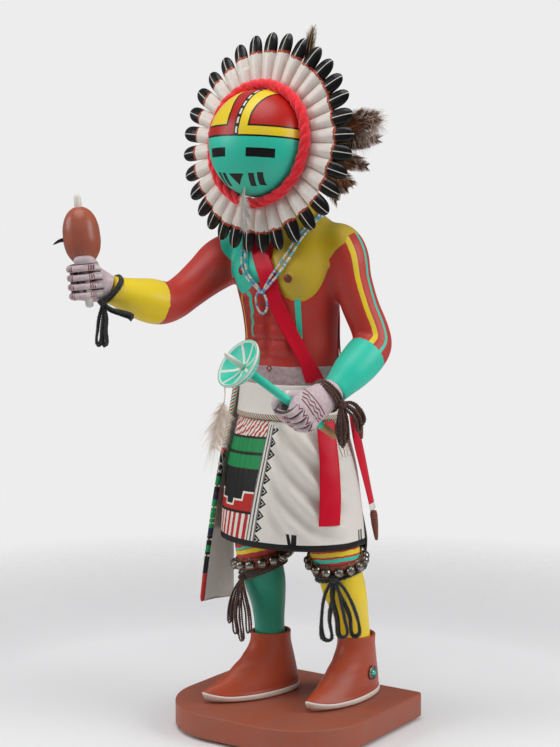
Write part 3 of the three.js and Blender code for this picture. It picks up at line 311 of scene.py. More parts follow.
class Shell:
    """Vertices, faces and painted coordinates of one piece, gathered form by form."""

    def __init__(self):
        self.points, self.faces, self.slots, self.values, self.count = [], [], [], [], 0

    def add(self, points, faces, slot=0, **values):
        points = asarray(points, float).reshape(-1, 3)
        self.points.append(points)
        for part in faces:
            part = asarray(part, int)
            self.faces.extend((part + self.count).tolist())
            self.slots.extend([slot] * len(part))
        self.values.append((len(points), values))
        self.count += len(points)

    def loft(self, rings, slot=0, endless=False, caps=True, **values):
        """A closed form through rings of equally many points."""
        rings = asarray(rings, float)
        rows, sides = rings.shape[:2]
        ids = np.arange(rows * sides).reshape(rows, sides)
        upper = np.roll(ids, -1, axis=0)
        if not endless:
            ids, upper = ids[:-1], upper[:-1]
        quads = stack([ids, np.roll(ids, -1, 1), np.roll(upper, -1, 1), upper], -1).reshape(-1, 4)
        points = rings.reshape(-1, 3)
        fans = np.zeros((0, 3), int)
        spread = {}
        for name, value in values.items():
            value = asarray(value, float)
            shape = (rows, sides, 3) if value.ndim and value.shape[-1] == 3 else (rows, sides)
            if value.ndim == 1 and shape == (rows, sides) and value.shape == (rows,):
                value = value[:, None]
            spread[name] = np.broadcast_to(value, shape)
        if not endless and caps:
            points = np.vstack([points, rings[0].mean(0), rings[-1].mean(0)])
            side = np.arange(sides)
            after = (side + 1) % sides
            low, high = rows * sides, rows * sides + 1
            last = (rows - 1) * sides
            fans = np.vstack(
                [
                    column_stack([np.full(sides, low), after, side]),
                    column_stack([np.full(sides, high), last + side, last + after]),
                ]
            )
        flat = {}
        for name, value in spread.items():
            tail = value.shape[2:]
            column = value.reshape((-1, *tail))
            if len(fans):
                ends = [value[0].mean(0).reshape((1, *tail)), value[-1].mean(0).reshape((1, *tail))]
                column = concatenate([column, *ends])
            flat[name] = column
        a, b, c, d = (points[quads[:, i]] for i in range(4))
        volume = np.einsum("ij,ij->", a, np.cross(b, c)) + np.einsum("ij,ij->", a, np.cross(c, d))
        if len(fans):
            a, b, c = (points[fans[:, i]] for i in range(3))
            volume += np.einsum("ij,ij->", a, np.cross(b, c))
        if volume < 0:
            quads, fans = quads[:, ::-1], fans[:, ::-1]
        self.add(points, [quads, fans] if len(fans) else [quads], slot, **flat)

    def rods(self, paths, half, sides=3, slot=0, **values):
        """Many thin rods at once: paths is (rods, rows, 3), half is (rods, rows) or less."""
        paths = asarray(paths, float)
        count, rows = paths.shape[:2]
        half = np.broadcast_to(asarray(half, float), (count, rows))
        ahead = unit(paths[:, -1] - paths[:, 0])
        reference = np.where(np.abs(ahead[:, 2:]) < 0.8, UP, BODY_LEFT)
        first = unit(np.cross(ahead, reference))
        second = np.cross(ahead, first)
        turn = circle(sides)
        round_way = spun(turn, first[:, None], second[:, None])
        points = paths[:, :, None] + half[..., None, None] * round_way[:, None]
        ids = np.arange(count * rows * sides).reshape(count, rows, sides)
        low, high = ids[:, :-1], ids[:, 1:]
        quads = stack([low, np.roll(low, -1, 2), np.roll(high, -1, 2), high], -1).reshape(-1, 4)
        ends = [ids[:, 0, ::-1].reshape(-1, sides), ids[:, -1].reshape(-1, sides)]
        flat = {}
        for name, value in values.items():
            value = asarray(value, float)
            while value.ndim < 2:
                value = value[..., None]
            flat[name] = np.repeat(np.broadcast_to(value, (count, rows)).ravel(), sides)
        self.add(points, [quads, *ends], slot, **flat)

    def named(self):
        """Every painted coordinate as one array over all the vertices."""
        made = {}
        for name in sorted({name for _, values in self.values for name in values}):
            wide = any(values[name].ndim == 2 for _, values in self.values if name in values)
            blank = lambda count: np.zeros((count, 3) if wide else count)
            made[name] = concatenate([v[name] if name in v else blank(count) for count, v in self.values])
        return made

    def mesh(self, name, shade=True):
        mesh = bpy.data.meshes.new(name)
        points = concatenate(self.points) + SOLES * UP
        mesh.from_pydata((points * 0.001).tolist(), [], self.faces)
        mesh.polygons.foreach_set("material_index", self.slots)
        mesh.polygons.foreach_set("use_smooth", [shade] * len(self.faces))
        for key, value in self.named().items():
            paint_on(mesh, key, value)
        return mesh


def paint_on(mesh, name, values):
    """Keeps a painted coordinate with the vertices of a mesh."""
    values = asarray(values, np.float32)
    kind, field = ("FLOAT_VECTOR", "vector") if values.ndim == 2 else ("FLOAT", "value")
    attribute = mesh.attributes.get(name) or mesh.attributes.new(name, kind, "POINT")
    attribute.data.foreach_set(field, values.ravel())


def read_vertices(mesh, key):
    """Places or normals of a mesh's vertices."""
    made = np.empty(3 * len(mesh.vertices), np.float32)
    mesh.vertices.foreach_get(key, made)
    return made.reshape(-1, 3)


def vertices_of(mesh):
    """Vertices in millimetres from the soles."""
    return read_vertices(mesh, "co").astype(float) * 1000 - SOLES * UP


def move_vertices(mesh, points):
    mesh.vertices.foreach_set("co", ((points + SOLES * UP) * 0.001).astype(np.float32).ravel())
    mesh.update()


def added(name, data):
    """A new object in the scene."""
    thing = bpy.data.objects.new(name, data)
    bpy.context.scene.collection.objects.link(thing)
    return thing


def piece(name, mesh, materials, slot, nodes=()):
    """A finished piece: its materials, the root body it rides on, and the packed solids that it replaces,
    hidden.
    """
    mesh.validate()
    thing = added(name, mesh)
    for material in materials:
        mesh.materials.append(material)
    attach(thing, "root")
    for node in nodes:
        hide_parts(node)
    return thing


def remeshed(mesh, voxel, passes):
    """The mesh joined into one skin of even quads, then smoothed a little."""
    thing = added("skin", mesh)
    skin = thing.modifiers.new("skin", "REMESH")
    skin.mode, skin.voxel_size, skin.use_smooth_shade = "VOXEL", voxel * 0.001, True
    if passes:
        soften = thing.modifiers.new("soften", "SMOOTH")
        soften.iterations, soften.factor = passes, 0.5
    graph = bpy.context.evaluated_depsgraph_get()
    made = bpy.data.meshes.new_from_object(thing.evaluated_get(graph))
    bpy.data.objects.remove(thing)
    return made


# Materials


def linear(code):
    """A given colour, as the numbers that light works with."""
    parts = [int(code[i : i + 2], 16) / 255 for i in (0, 2, 4)]
    return tuple(c / 12.92 if c <= 0.04045 else ((c + 0.055) / 1.055) ** 2.4 for c in parts)


def join(tree, value, socket):
    """Links a field or a socket to a socket, or sets the socket's own value."""
    if isinstance(value, Field):
        value = value.socket
    if isinstance(value, bpy.types.NodeSocket):
        tree.links.new(value, socket)
    elif socket.type == "RGBA" and len(value) == 3:
        socket.default_value = (*value, 1.0)
    else:
        socket.default_value = value


class Field:
    """A value in a node tree that arithmetic can be written with."""

    def __init__(self, tree, socket):
        self.tree, self.socket = tree, socket

    def math(self, operation, *others):
        node = self.tree.nodes.new("ShaderNodeMath")
        node.operation = operation
        for socket, value in zip(node.inputs, (self, *others)):
            join(self.tree, value, socket)
        return Field(self.tree, node.outputs[0])

    def __abs__(self):
        return self.math("ABSOLUTE")

    def __invert__(self):
        return self * -1 + 1

    def __rsub__(self, other):
        return self * -1 + other

    def over(self, edge, soft=0.12):
        """One where the value is over the edge."""
        value, low = (self - edge, 0.0) if isinstance(edge, Field) else (self, edge)
        node = self.tree.nodes.new("ShaderNodeMapRange")
        self.tree.links.new(value.socket, node.inputs[0])
        node.inputs[1].default_value, node.inputs[2].default_value = low - soft / 2, low + soft / 2
        return Field(self.tree, node.outputs[0])

    def under(self, edge, soft=0.12):
        return ~self.over(edge, soft)

    def within(self, low, high, soft=0.12):
        return self.over(low, soft) & self.under(high, soft)


for signs, operation in (
    ("add radd", "ADD"),
    ("sub", "SUBTRACT"),
    ("mul rmul and", "MULTIPLY"),
    ("truediv", "DIVIDE"),
    ("or", "MAXIMUM"),
):
    for sign in signs.split():
        setattr(Field, f"__{sign}__", lambda self, other, way=operation: self.math(way, other))


class Painter:
    """A material, or a group of nodes, under construction."""

    def __init__(self, tree, material=None):
        self.tree, self.material = tree, material
        self.shader = tree.nodes.get("Principled BSDF") if material else None

    def node(self, kind, **inputs):
        node = self.tree.nodes.new(kind)
        for name, value in inputs.items():
            self.put(value, node.inputs[name.replace("_", " ")])
        return node

    def put(self, value, socket):
        join(self.tree, value, socket)

    def place(self, scale=(1.0, 1.0, 1.0)):
        """The object's own place in millimetres, stretched."""
        where = self.node("ShaderNodeTexCoord")
        node = self.tree.nodes.new("ShaderNodeVectorMath")
        node.operation = "MULTIPLY"
        self.tree.links.new(where.outputs["Object"], node.inputs[0])
        node.inputs[1].default_value = [1000 * s for s in scale]
        return node.outputs[0]

    def parts(self, vector):
        """The three parts of a vector as fields."""
        node = self.node("ShaderNodeSeparateXYZ", Vector=vector)
        return [Field(self.tree, part) for part in node.outputs]

    def attribute(self, name):
        node = self.tree.nodes.new("ShaderNodeAttribute")
        node.attribute_name = name
        return node.outputs

    def coordinate(self, name):
        """A painted coordinate of the mesh, as three fields."""
        return self.parts(self.attribute(name)["Vector"])

    def value(self, name):
        return Field(self.tree, self.attribute(name)["Fac"])

    def turn(self, name):
        """Degrees and height of a coordinate kept as sine, cosine and height."""
        sine, cosine, height = self.coordinate(name)
        return sine.math("ARCTAN2", cosine) * (180 / math.pi), height

    def noise(self, size, detail=2.0, stretch=(1.0, 1.0, 1.0)):
        """Cloudy noise from 0 to 1 with features of that size in millimetres."""
        node = self.node("ShaderNodeTexNoise", Vector=self.place(stretch), Scale=1 / size, Detail=detail)
        return Field(self.tree, node.outputs["Fac"])

    def toned(self, colour, shade, rich=1.0):
        """A colour made lighter or darker, and richer or duller."""
        return self.node("ShaderNodeHueSaturation", Color=colour, Value=shade, Saturation=rich).outputs[0]

    def mix(self, share, below, above, blend="MIX"):
        node = self.tree.nodes.new("ShaderNodeMix")
        node.data_type, node.blend_type = "RGBA", blend
        self.put(share, node.inputs[0])
        self.put(below, node.inputs[6])
        self.put(above, node.inputs[7])
        return node.outputs[2]

    def layers(self, base, *coats):
        """Coats of paint laid over a base: each is where it lies, and its colour."""
        for where, colour in coats:
            base = self.mix(where, base, colour)
        return base

    def use(self, name, **inputs):
        """A shared group of nodes, placed with its own values."""
        node = self.tree.nodes.new("ShaderNodeGroup")
        node.node_tree = bpy.data.node_groups[name]
        for key, value in inputs.items():
            self.put(value, node.inputs[key.replace("_", " ")])
        return node

    def finish(self, surface, bump, distance, **settings):
        """Joins a shared surface group to the shader, and sets what is the same all over."""
        self.put(surface.outputs["Colour"], self.shader.inputs["Base Color"])
        self.put(surface.outputs["Roughness"], self.shader.inputs["Roughness"])
        relief = self.node("ShaderNodeBump", Strength=bump, Distance=distance * 0.001)
        self.put(surface.outputs["Height"], relief.inputs["Height"])
        self.put(relief.outputs[0], self.shader.inputs["Normal"])
        for name, value in settings.items():
            self.put(value, self.shader.inputs[name.replace("_", " ")])
        return self.material


def material(name):
    made = bpy.data.materials.new(name)
    made.use_nodes = True
    return Painter(made.node_tree, made)


def shared_group(name, recipe, inputs):
    """A shared group of nodes: its recipe gives colour, roughness and height from its inputs."""
    tree = bpy.data.node_groups.new(name, "ShaderNodeTree")
    for key, value in inputs.items():
        kind = "NodeSocketFloat" if isinstance(value, float) else "NodeSocketColor"
        tree.interface.new_socket(name=key, in_out="INPUT", socket_type=kind).default_value = value
    for key, kind in (("Colour", "Color"), ("Roughness", "Float"), ("Height", "Float")):
        tree.interface.new_socket(name=key, in_out="OUTPUT", socket_type="NodeSocket" + kind)
    source, sink = tree.nodes.new("NodeGroupInput"), tree.nodes.new("NodeGroupOutput")
    given = recipe(Painter(tree), lambda key: Field(tree, source.outputs[key]))
    for value, socket in zip(given, sink.inputs):
        join(tree, value, socket)


def brushed_paint(made, get):
    """Brushed matt paint on carved wood: uneven coats, brush lines, fine grain and rubbed spots."""
    broad, brush = made.noise(17), made.noise(1.1, 3, (1.0, 1.0, 0.16))
    grain, crumb = made.noise(0.5, 3), made.noise(2.6, 4)
    shade = (broad * 0.65 + brush * 0.35 - 0.5) * get("Unevenness") * 2 + 1
    rubbed = crumb.over(0.7, 0.06) * broad.over(0.5, 0.2) * get("Rubbed")
    tone = made.toned(get("Paint"), shade, 1 + (broad - 0.5) * get("Unevenness"))
    rough = get("Gloss") + (brush - 0.5) * 0.16 + (broad - 0.5) * 0.14
    return made.mix(rubbed, tone, get("Under")), rough, brush * 0.6 + grain * 0.25 - rubbed * 0.6


def spun_wool(made, get):
    """Spun wool: plies that catch light, with darker hollows."""
    fibre, clump = made.noise(0.35, 4), made.noise(3.5, 3)
    shade = 1 + (fibre * 0.6 + clump * 0.4 - 0.5) * get("Depth") * 2
    return made.toned(get("Dye"), shade), 0.88 + (fibre - 0.5) * 0.15, fibre * get("Fibre") + clump * 0.2


def woven_satin(made, get):
    """Satin ribbon: fine warp threads along it, faint weft, and darker edges."""
    warp, weft = (abs((get(key) * pace).math("SINE")) for key, pace in (("Across", 4.2), ("Along", 6.5)))
    edge = abs(get("Across")).over(5.7, 0.5)
    cloud, fine = made.noise(9, 2), made.noise(0.5, 2)
    shade = 0.9 + cloud * 0.2 + warp * 0.07 - weft * 0.05 - edge * 0.12
    relief = warp * 0.5 + weft * 0.35 + edge * 0.8 + fine * 0.3
    return made.toned(get("Dye"), shade), 0.36 + fine * 0.1 + edge * 0.2, relief


def dusty_barbs(made, get):
    """Barbs of a feather: each has its own tone, dusty and dull."""
    mottle, fine = made.noise(2.2, 4), made.noise(0.4, 2)
    shade = 1 + (get("Tint") - 0.5) * get("Contrast") * 1.6 + (mottle - 0.5) * get("Contrast")
    return made.toned(get("Tone"), shade), 0.7 + fine * 0.2, fine


def handled_metal(made, get):
    """Plated metal that has been handled: smears, small scratches and patches of tarnish."""
    smear, scratch = made.noise(2.4, 4), made.noise(0.35, 2, (1.0, 0.15, 1.0))
    stain = smear.over(0.56, 0.2) * get("Wear")
    tone = made.mix(stain, get("Metal"), get("Tarnish"))
    return tone, 0.16 + stain * 0.35 + scratch * 0.12, scratch * 0.4 + smear * 0.3


GROUPS = (
    # name, recipe and first values of the inputs of each shared group
    (
        "hand_paint",
        brushed_paint,
        {
            "Paint": (0.8, 0.8, 0.8, 1),
            "Under": (0.35, 0.2, 0.12, 1),
            "Gloss": 0.45,
            "Unevenness": 0.16,
            "Rubbed": 0.25,
        },
    ),
    ("wool", spun_wool, {"Dye": (0.8, 0.1, 0.1, 1), "Depth": 0.45, "Fibre": 0.3}),
    ("satin", woven_satin, {"Dye": (0.6, 0.02, 0.04, 1), "Across": 0.0, "Along": 0.0}),
    ("feather", dusty_barbs, {"Tone": (0.3, 0.18, 0.1, 1), "Tint": 0.5, "Contrast": 0.5}),
    (
        *("worn_metal", handled_metal),
        {"Metal": (0.6, 0.58, 0.54, 1), "Tarnish": (0.12, 0.08, 0.05, 1), "Wear": 0.4},
    ),
)


# The carved dancer

MIDLINE = 9.0


def turns(count):
    """Angles round the body from its back, so that the seam is behind."""
    return linspace(-pi, pi, count, endpoint=False)


def torso_relief(angle, height):
    """How far the carving stands out from the plain body, by degrees from its midline and height."""
    breast = sum(hump(angle, side * 33, 20) * hump(height, 280, 12) for side in (-1, 1)) * 2.2
    cleft = -1.3 * hump(angle, 0, 5) * hump(height, 279, 17)
    crease = 0
    for side in (-1, 1):
        ring = np.hypot((angle - side * 34) / 31, (height - 285) / 21.5)
        crease = crease - 1.1 * hump(ring, 1.0, 0.1) * (height < 284)
        nipple = np.hypot((angle - (24, -29)[side < 0]) * 0.66, height - (277.5, 281.5)[side < 0])
        crease = crease + 1.3 * clip(1 - (nipple / 3.3) ** 2, 0, 1) - 0.4 * hump(nipple, 4, 0.9)
    spread = np.abs(angle)
    swell = lambda value, width: np.exp(-((np.abs(value) / width) ** 4.5))
    cell = lambda row, tall: swell(np.abs(angle + 3) - 14, 12.5) * swell(height - row, tall)
    belly = 2.7 * cell(233, 4.5) + 2.7 * cell(242.8, 4.3) + 1.3 * cell(251, 3.4)
    groove = -1.2 * hump(angle, -3, 2.6) * hump(height, 240, 14)
    slot = -1.6 * hump(angle, -3, 2.6) * hump(height, 258, 4.5)
    flank = -0.8 * hump(spread, 34, 7) * hump(height, 240, 16)
    behind = 180 - spread
    spine = -1.9 * hump(behind, 0, 6) * hump(height, 262, 40)
    blades = 2.0 * hump(behind, 33, 17) * hump(height, 285, 15)
    blades = blades - 0.9 * hump(behind, 50, 8) * hump(height, 276, 12)
    loin = 0.9 * hump(behind, 15, 9) * hump(height, 238, 16)
    return breast + cleft + crease + belly + groove + slot + flank + spine + blades + loin


def relax(mesh, weight, rounds):
    """Even out a mesh where a weight says so, as sandpaper would."""
    edges = np.empty(2 * len(mesh.edges), np.int32)
    mesh.edges.foreach_get("vertices", edges)
    low, high = edges.reshape(-1, 2).T
    both, other = concatenate([low, high]), concatenate([high, low])
    points = vertices_of(mesh)
    count = np.bincount(both, minlength=len(points))[:, None]
    for _ in range(rounds):
        near = column_stack([np.bincount(both, points[other, i], len(points)) for i in range(3)]) / count
        points = points + (near - points) * (0.6 * weight)[:, None]
    move_vertices(mesh, points)


def limb_path(rows, count):
    """Centre line and half widths of a limb."""
    made = smooth(rows, count)
    return made[:, :3], made[:, 3]


def nearest_on(path, half, points):
    """For each point: its place along a limb, its height over the limb's skin, and its row."""
    gap = np.linalg.norm(points[:, None] - path[None], axis=2)
    row = np.argmin(gap, axis=1)
    return along(path)[row], gap[np.arange(len(points)), row] - half[row], row


def body_mesh(voxel):
    """Torso, neck and arms in one skin, with their painted coordinates."""
    shell = Shell()
    shell.loft(on_oval(TORSO, turns(120), linspace(200, 345, 60)[:, None]))
    for side in ARMS:
        path, half = limb_path(ARMS[side], 70)
        shell.loft(rod_rings(path, half, 48))
    mesh = remeshed(shell.mesh("body"), voxel, 5)
    points = vertices_of(mesh)
    levels = spaced(TORSO, points[:, 2])
    shift, wide, deep = levels.T
    across = points @ BODY_LEFT - BODY_AXIS @ BODY_LEFT
    ahead = points @ BODY_FRONT - BODY_AXIS @ BODY_FRONT - shift
    angle = np.arctan2(across / wide, ahead / deep)
    over_body = (np.hypot(across / wide, ahead / deep) - 1) * 0.5 * (wide + deep)
    over_arm, limb = np.full(len(points), 1e3), np.zeros((len(points), 3))
    for side in ARMS:
        path, half = limb_path(ARMS[side], 160)
        _, first, second = frames(path, UP)
        place, over, row = nearest_on(path, half, points)
        out = unit(points - path[row])
        closer = over < over_arm
        turn = column_stack([np.einsum("ij,ij->i", out, v[row]) for v in (second, first)])
        limb[closer] = column_stack([turn, place])[closer]
        over_arm = np.minimum(over, over_arm)
    which = over_body - over_arm
    normal = read_vertices(mesh, "normal")
    relax(mesh, hump(which, 0, 5) * clip((points[:, 2] - 256) / 10, 0, 1), 70)
    points = vertices_of(mesh)
    depth = torso_relief((np.degrees(angle) - MIDLINE + 180) % 360 - 180, points[:, 2])
    depth = depth * clip(0.5 - which / 6, 0, 1) * clip((points[:, 2] - 221) / 4, 0, 1)
    move_vertices(mesh, points + normal * depth[:, None])
    round_body = column_stack([sin(angle), cos(angle), points[:, 2]])
    for name, values in (("round", round_body), ("limb", limb), ("arm", which), ("left", across)):
        paint_on(mesh, name, values)
    return mesh


def mask_mesh():
    """The dome of the face and the smaller back of the head."""
    shell = Shell()
    angle = concatenate([linspace(0.02, pi / 2, 56), linspace(pi / 2, pi - 0.05, 30)[1:]])
    behind = angle > pi / 2
    reach = np.where(behind, HEAD_BACK, MASK_BULGE)
    sine = sin(angle)
    girth = MASK_RADIUS * np.where(behind, sine**HEAD_BLUNTNESS, sine)
    turn = circle(112)
    cheek, crown = np.outer(girth, sin(turn)), np.outer(girth, cos(turn))
    cheek, crown = np.where(cheek < 0, cheek * 0.95, cheek), np.where(crown > 0, crown * 0.93, crown)
    out = np.broadcast_to((MASK_SET_OUT + cos(angle) * reach)[:, None], cheek.shape)
    shell.loft(on_face(cheek, crown, out), face=stack([cheek, crown, out], -1))
    return shell.mesh("mask")


def kilt_swell(angle, height):
    """Folds of the kilt: a swirl in front that falls to the left, and plainer folds behind."""
    front = height + 1.15 * (angle - 15) - 0.0075 * (angle - 15) ** 2
    swirl = cos((front - 181.8) / 20.6 * 2 * pi)
    sharp = np.sign(swirl) * np.abs(swirl) ** 0.8
    zone = 1 / (1 + np.exp(-(angle - 19) / 2.5)) / (1 + np.exp((angle - 86) / 6))
    fade = clip((height - 108) / 14, 0, 1) * clip((186 - height) / 8, 0, 1)
    made = 2.5 * sharp * zone * fade
    back = np.abs((angle + 540) % 360 - 180)
    zone = 1 / (1 + np.exp(-(back - 96) / 5))
    drape = sin(radians(back) * 11 + (height - 140) * 0.035) + 0.4 * sin(radians(back) * 23)
    made = made + 0.85 * drape * zone * clip((190 - height) / 40, 0.1, 1)
    pleats = 0.55 * cos((angle + 17) * 0.9) * clip(1.3 - np.abs(angle + 26) / 24, 0, 1)
    made = made + pleats * clip((186 - height) / 6, 0, 1) * clip((height - 135) / 30, 0.1, 1)
    return made


def dress_levels(shell, levels, heights, count, slot, swell=None):
    """A closed band of the dress with its coordinates."""
    angle = turns(count)
    degrees = np.degrees(angle)
    more = swell(degrees[None], heights[:, None]) if swell else 0.0
    sine, cosine, up = np.broadcast_arrays(sin(angle)[None], cos(angle)[None], heights[:, None])
    rings = on_oval(levels, angle, heights[:, None], more)
    shell.loft(rings, slot, round=stack([sine, cosine, up], -1))


KILT_TIP = [(28, 38, 128, 6), (36, 34, 104, 6), (41, 30, 94, 2.5)]


def dress_mesh():
    """Kilt with its hem and hanging back corner, belt with a rolled lower edge, and waistband."""
    shell = Shell()
    heights = concatenate([[105.0, 105.05, 105.4], linspace(106, 186, 62)])
    levels = [(105, 50.6, 38.8), (105.4, 51.8, 39.8), (106.2, 52, 40), *KILT[1:]]
    dress_levels(shell, levels, heights, 300, 0, kilt_swell)
    path, half = limb_path(KILT_TIP, 24)
    other = interp(linspace(0, 1, 24), [0, 0.7, 1], [2.5, 2.5, 1.2])
    shell.loft(rod_rings(path, half, 28, BODY_LEFT, other), 2)
    wave = lambda angle, height, count: sin(radians(angle) * count + height)
    lumps = lambda angle, height: 0.22 * wave(angle, height, 7) * wave(angle, 0, 3)
    dress_levels(shell, BELT, spread_heights(BELT, 26), 180, 1)
    dress_levels(shell, WAISTBAND, spread_heights(WAISTBAND, 16), 180, 3, lumps)
    return shell.mesh("dress")


def spread_heights(levels, count):
    """Heights from the first level to the last, closer together at both rounded edges."""
    return levels[0][0] + (levels[-1][0] - levels[0][0]) * eased(count)


def legs_mesh():
    """Legs that stand in the open tops of the boots, and the boots with their soles."""
    shell = Shell()
    for number, side in enumerate(LEGS):
        path, half = limb_path(LEGS[side], 60)
        height = path[:, 2]
        calf = 0.9 * hump(height, 70, 11)
        turn = circle(56)
        _, first, second = frames(path, BODY_FRONT)
        wide = half[:, None] + calf[:, None] * clip(-cos(turn), 0, 1) - 0.5 * hump(height, 88, 6)[:, None]
        rings = path[:, None] + wide[..., None] * spun(turn, first[:, None], second[:, None])
        shell.loft(rings, number, level=height)
        boot_form(shell, side)
    return shell.mesh("legs")


def boot_form(shell, side):
    """One boot: a sole that turns up at the toe, a smooth upper and an open rim."""
    x, y, yaw = BOOTS[side]
    ahead = facing(yaw)
    across = np.cross(UP, ahead)
    outer = concatenate([linspace(0, 6, 16), linspace(6.6, 41.2, 41)])
    rows = spaced(BOOT_LEVELS, outer)
    groove = -0.55 * hump(outer, 4.5, 0.4)
    rim = [(41.8, -0.5), (41.6, -1.4), (40.2, -2), (37, -2.2)]
    lip = [rows[-1:] + (g, g, g, 0) for _, g in rim]
    rows = np.vstack([rows + array([1, 1, 1, 0]) * groove[:, None], *lip])
    heights = concatenate([outer, [h for h, _ in rim]])
    turn = circle(88)
    cosine, sine = cos(turn), sin(turn)
    heel, toe, half, lift = (rows[:, i : i + 1] for i in range(4))
    narrow = 1 - 0.42 * clip(cosine, 0, 1) ** 2 * np.minimum(1, toe / 45)
    rise = lift * clip((cosine - 0.5) / 0.5, 0, 1) ** 2
    tall = heights[:, None]
    fold = 0.35 * sin(tall * 0.9 + cosine * 2) * hump(tall, 24, 7) * clip(cosine, 0, 1)
    points = (
        array([x, y, 0.0])
        + (tall + rise)[..., None] * UP
        + ((toe - heel) / 2 + ((toe + heel) / 2) * cosine + fold)[..., None] * ahead
        + (half * narrow * sine)[..., None] * across
    )
    shell.loft(points, 2, level=heights)


GRIPS = {
    "right": (RATTLE_LOW, RATTLE_HIGH, 0.23, array([1.0, 0, 0])),
    "left": (STAFF_LOW, STAFF_SIGHT, 0.375, array([-1.0, 0, 0])),
}
FINGER_PITCH = 5.6
FINGER_SLANT = {"right": 0.0, "left": 0.33}
FINGER_PATH = [(0, -6.6), (6, -7.2), (9.2, -3), (9.0, 3.2), (6, 6.9), (0.6, 7.5), (-3.6, 7.0)]


def grip(side):
    """A hand's frame: thumb along what it holds, out to the knuckles, and towards the palm."""
    low, high, share, hint = GRIPS[side]
    thumb = unit(high - low)
    wrist = array(ARMS[side][-1][:3], float)
    centre = low + (high - low) * share
    distal = centre - wrist
    distal = unit(distal - thumb * (distal @ thumb))
    palm = np.cross(thumb, distal)
    palm = palm if palm @ hint > 0 else -palm
    return thumb, wrist, centre, distal, palm


def hand_mesh(side, voxel):
    """A carved hand closed round a rod, with four fingers, a thumb and coordinates for its paint."""
    thumb, wrist, centre, distal, palm = grip(side)
    slant = FINGER_SLANT[side]
    put = lambda ahead, inward, up: centre + ahead * distal + inward * palm + up * thumb
    shell = Shell()
    from_wrist = lambda share, inward, up: wrist + (put(0, inward, up) - wrist) * share
    rows = [
        (from_wrist(0, 0, 0), 8.6, 8.4),
        (from_wrist(0.35, -3.6, 0), 10.2, 7.8),
        (from_wrist(0.7, -4.1, 0), 11.6, 7.0),
        (put(0, -4.6, 0), 12.2, 5.6),
        (put(4.5, -5.8, 0), 11.6, 4.2),
        (put(7, -6.2, 0), 10.2, 2.6),
    ]
    made = smooth([(*p, a, b) for p, a, b in rows], 30)
    shell.loft(rod_rings(made[:, :3], made[:, 3], 36, thumb, made[:, 4]))
    trail = smooth([(a, b, 0) for a, b in FINGER_PATH], 44)
    place = along(trail)
    for finger in range(4):
        up = (finger - 1.5) * FINGER_PITCH
        lean = (0.0, 0.5, 0.3, -0.6)[finger]
        rise = clip(place - 5, -5, 9)[:, None] * slant
        path = put(trail[:, :1] * (1 + 0.03 * lean), trail[:, 1:2], up + rise)
        end = place[-1] - (1.4, 0, 0.6, 2.4)[finger]
        keep = place <= end
        half = 2.6 + 0.35 * hump(place, 5 - up * slant, 2.2) + 0.22 * hump(place, 15.5, 2)
        half = half - 0.35 * clip(place / end, 0, 1)
        half = half * np.sqrt(clip(1 - clip((place - end + 2.8) / 2.9, 0, 1) ** 2, 0.02, 1))
        shell.loft(rod_rings(path[keep], half[keep], 20, thumb))
    stops = [
        (from_wrist(0.2, 1, 6), 5.2),
        (from_wrist(0.65, 5, 10.2), 4.8),
        (put(0, 6.8, 12.4), 3.9),
        (put(5, 5.6, 13.4), 3.3),
        (put(7.8, 4.4, 13.2), 2.2),
        (put(8.8, 3.9, 13.1), 0.8),
    ]
    path, half = limb_path([(*p, h) for p, h in stops], 26)
    shell.loft(rod_rings(path, half, 24))
    mesh = remeshed(shell.mesh("hand"), voxel, 3)
    points = vertices_of(mesh)
    away = points - centre
    ahead, inward, up = away @ distal, away @ palm, away @ thumb
    flat = column_stack([ahead, inward])
    near = np.linalg.norm(flat[:, None] - trail[None, :, :2], axis=2)
    row = np.argmin(near, axis=1)
    back = np.where((row == 0) | (ahead < 0), np.minimum(ahead, 0.0), place[row])
    back = np.where(inward > 1.0, np.maximum(place[row], 12), back)
    back, up = back + slant * up, up - slant * clip(back - 5, -5, 9)
    groove = sum(hump((up / FINGER_PITCH + 2) % 1, edge, 0.1) for edge in (0.0, 1.0))
    close = near.min(1)
    groove = groove * (np.abs(up) < 1.6 * FINGER_PITCH) * clip((back - 0.5) / 5, 0, 1) * (close < 4.6)
    move_vertices(mesh, points - read_vertices(mesh, "normal") * (1.15 * groove)[:, None])
    paint_on(mesh, "hand", column_stack([back, up, inward]))
    paint_on(mesh, "finger_end", np.where((close < 4) & (np.abs(up) < 12), place[-1] - place[row], 99))
    return mesh


# Paint on the dancer


def painted(name, coats, gloss=0.42, bump=0.35, unevenness=0.14, rubbed=0.2, **settings):
    """A hand-painted wooden surface: coats lays its paints, or names the only one."""
    made, paints = material(name), bpy.context.scene.doll_paints
    colour = coats(made, paints) if callable(coats) else getattr(paints, coats)
    surface = made.use("hand_paint", Paint=colour, Gloss=gloss, Unevenness=unevenness, Rubbed=rubbed)
    return made.finish(surface, bump, 0.22, **{"Specular_IOR_Level": 0.36, **settings})


def wobble(made, size=2.4, reach=0.5):
    """The unsteadiness of a hand-drawn edge, in millimetres."""
    return (made.noise(size, 2) - 0.5) * (2 * reach)


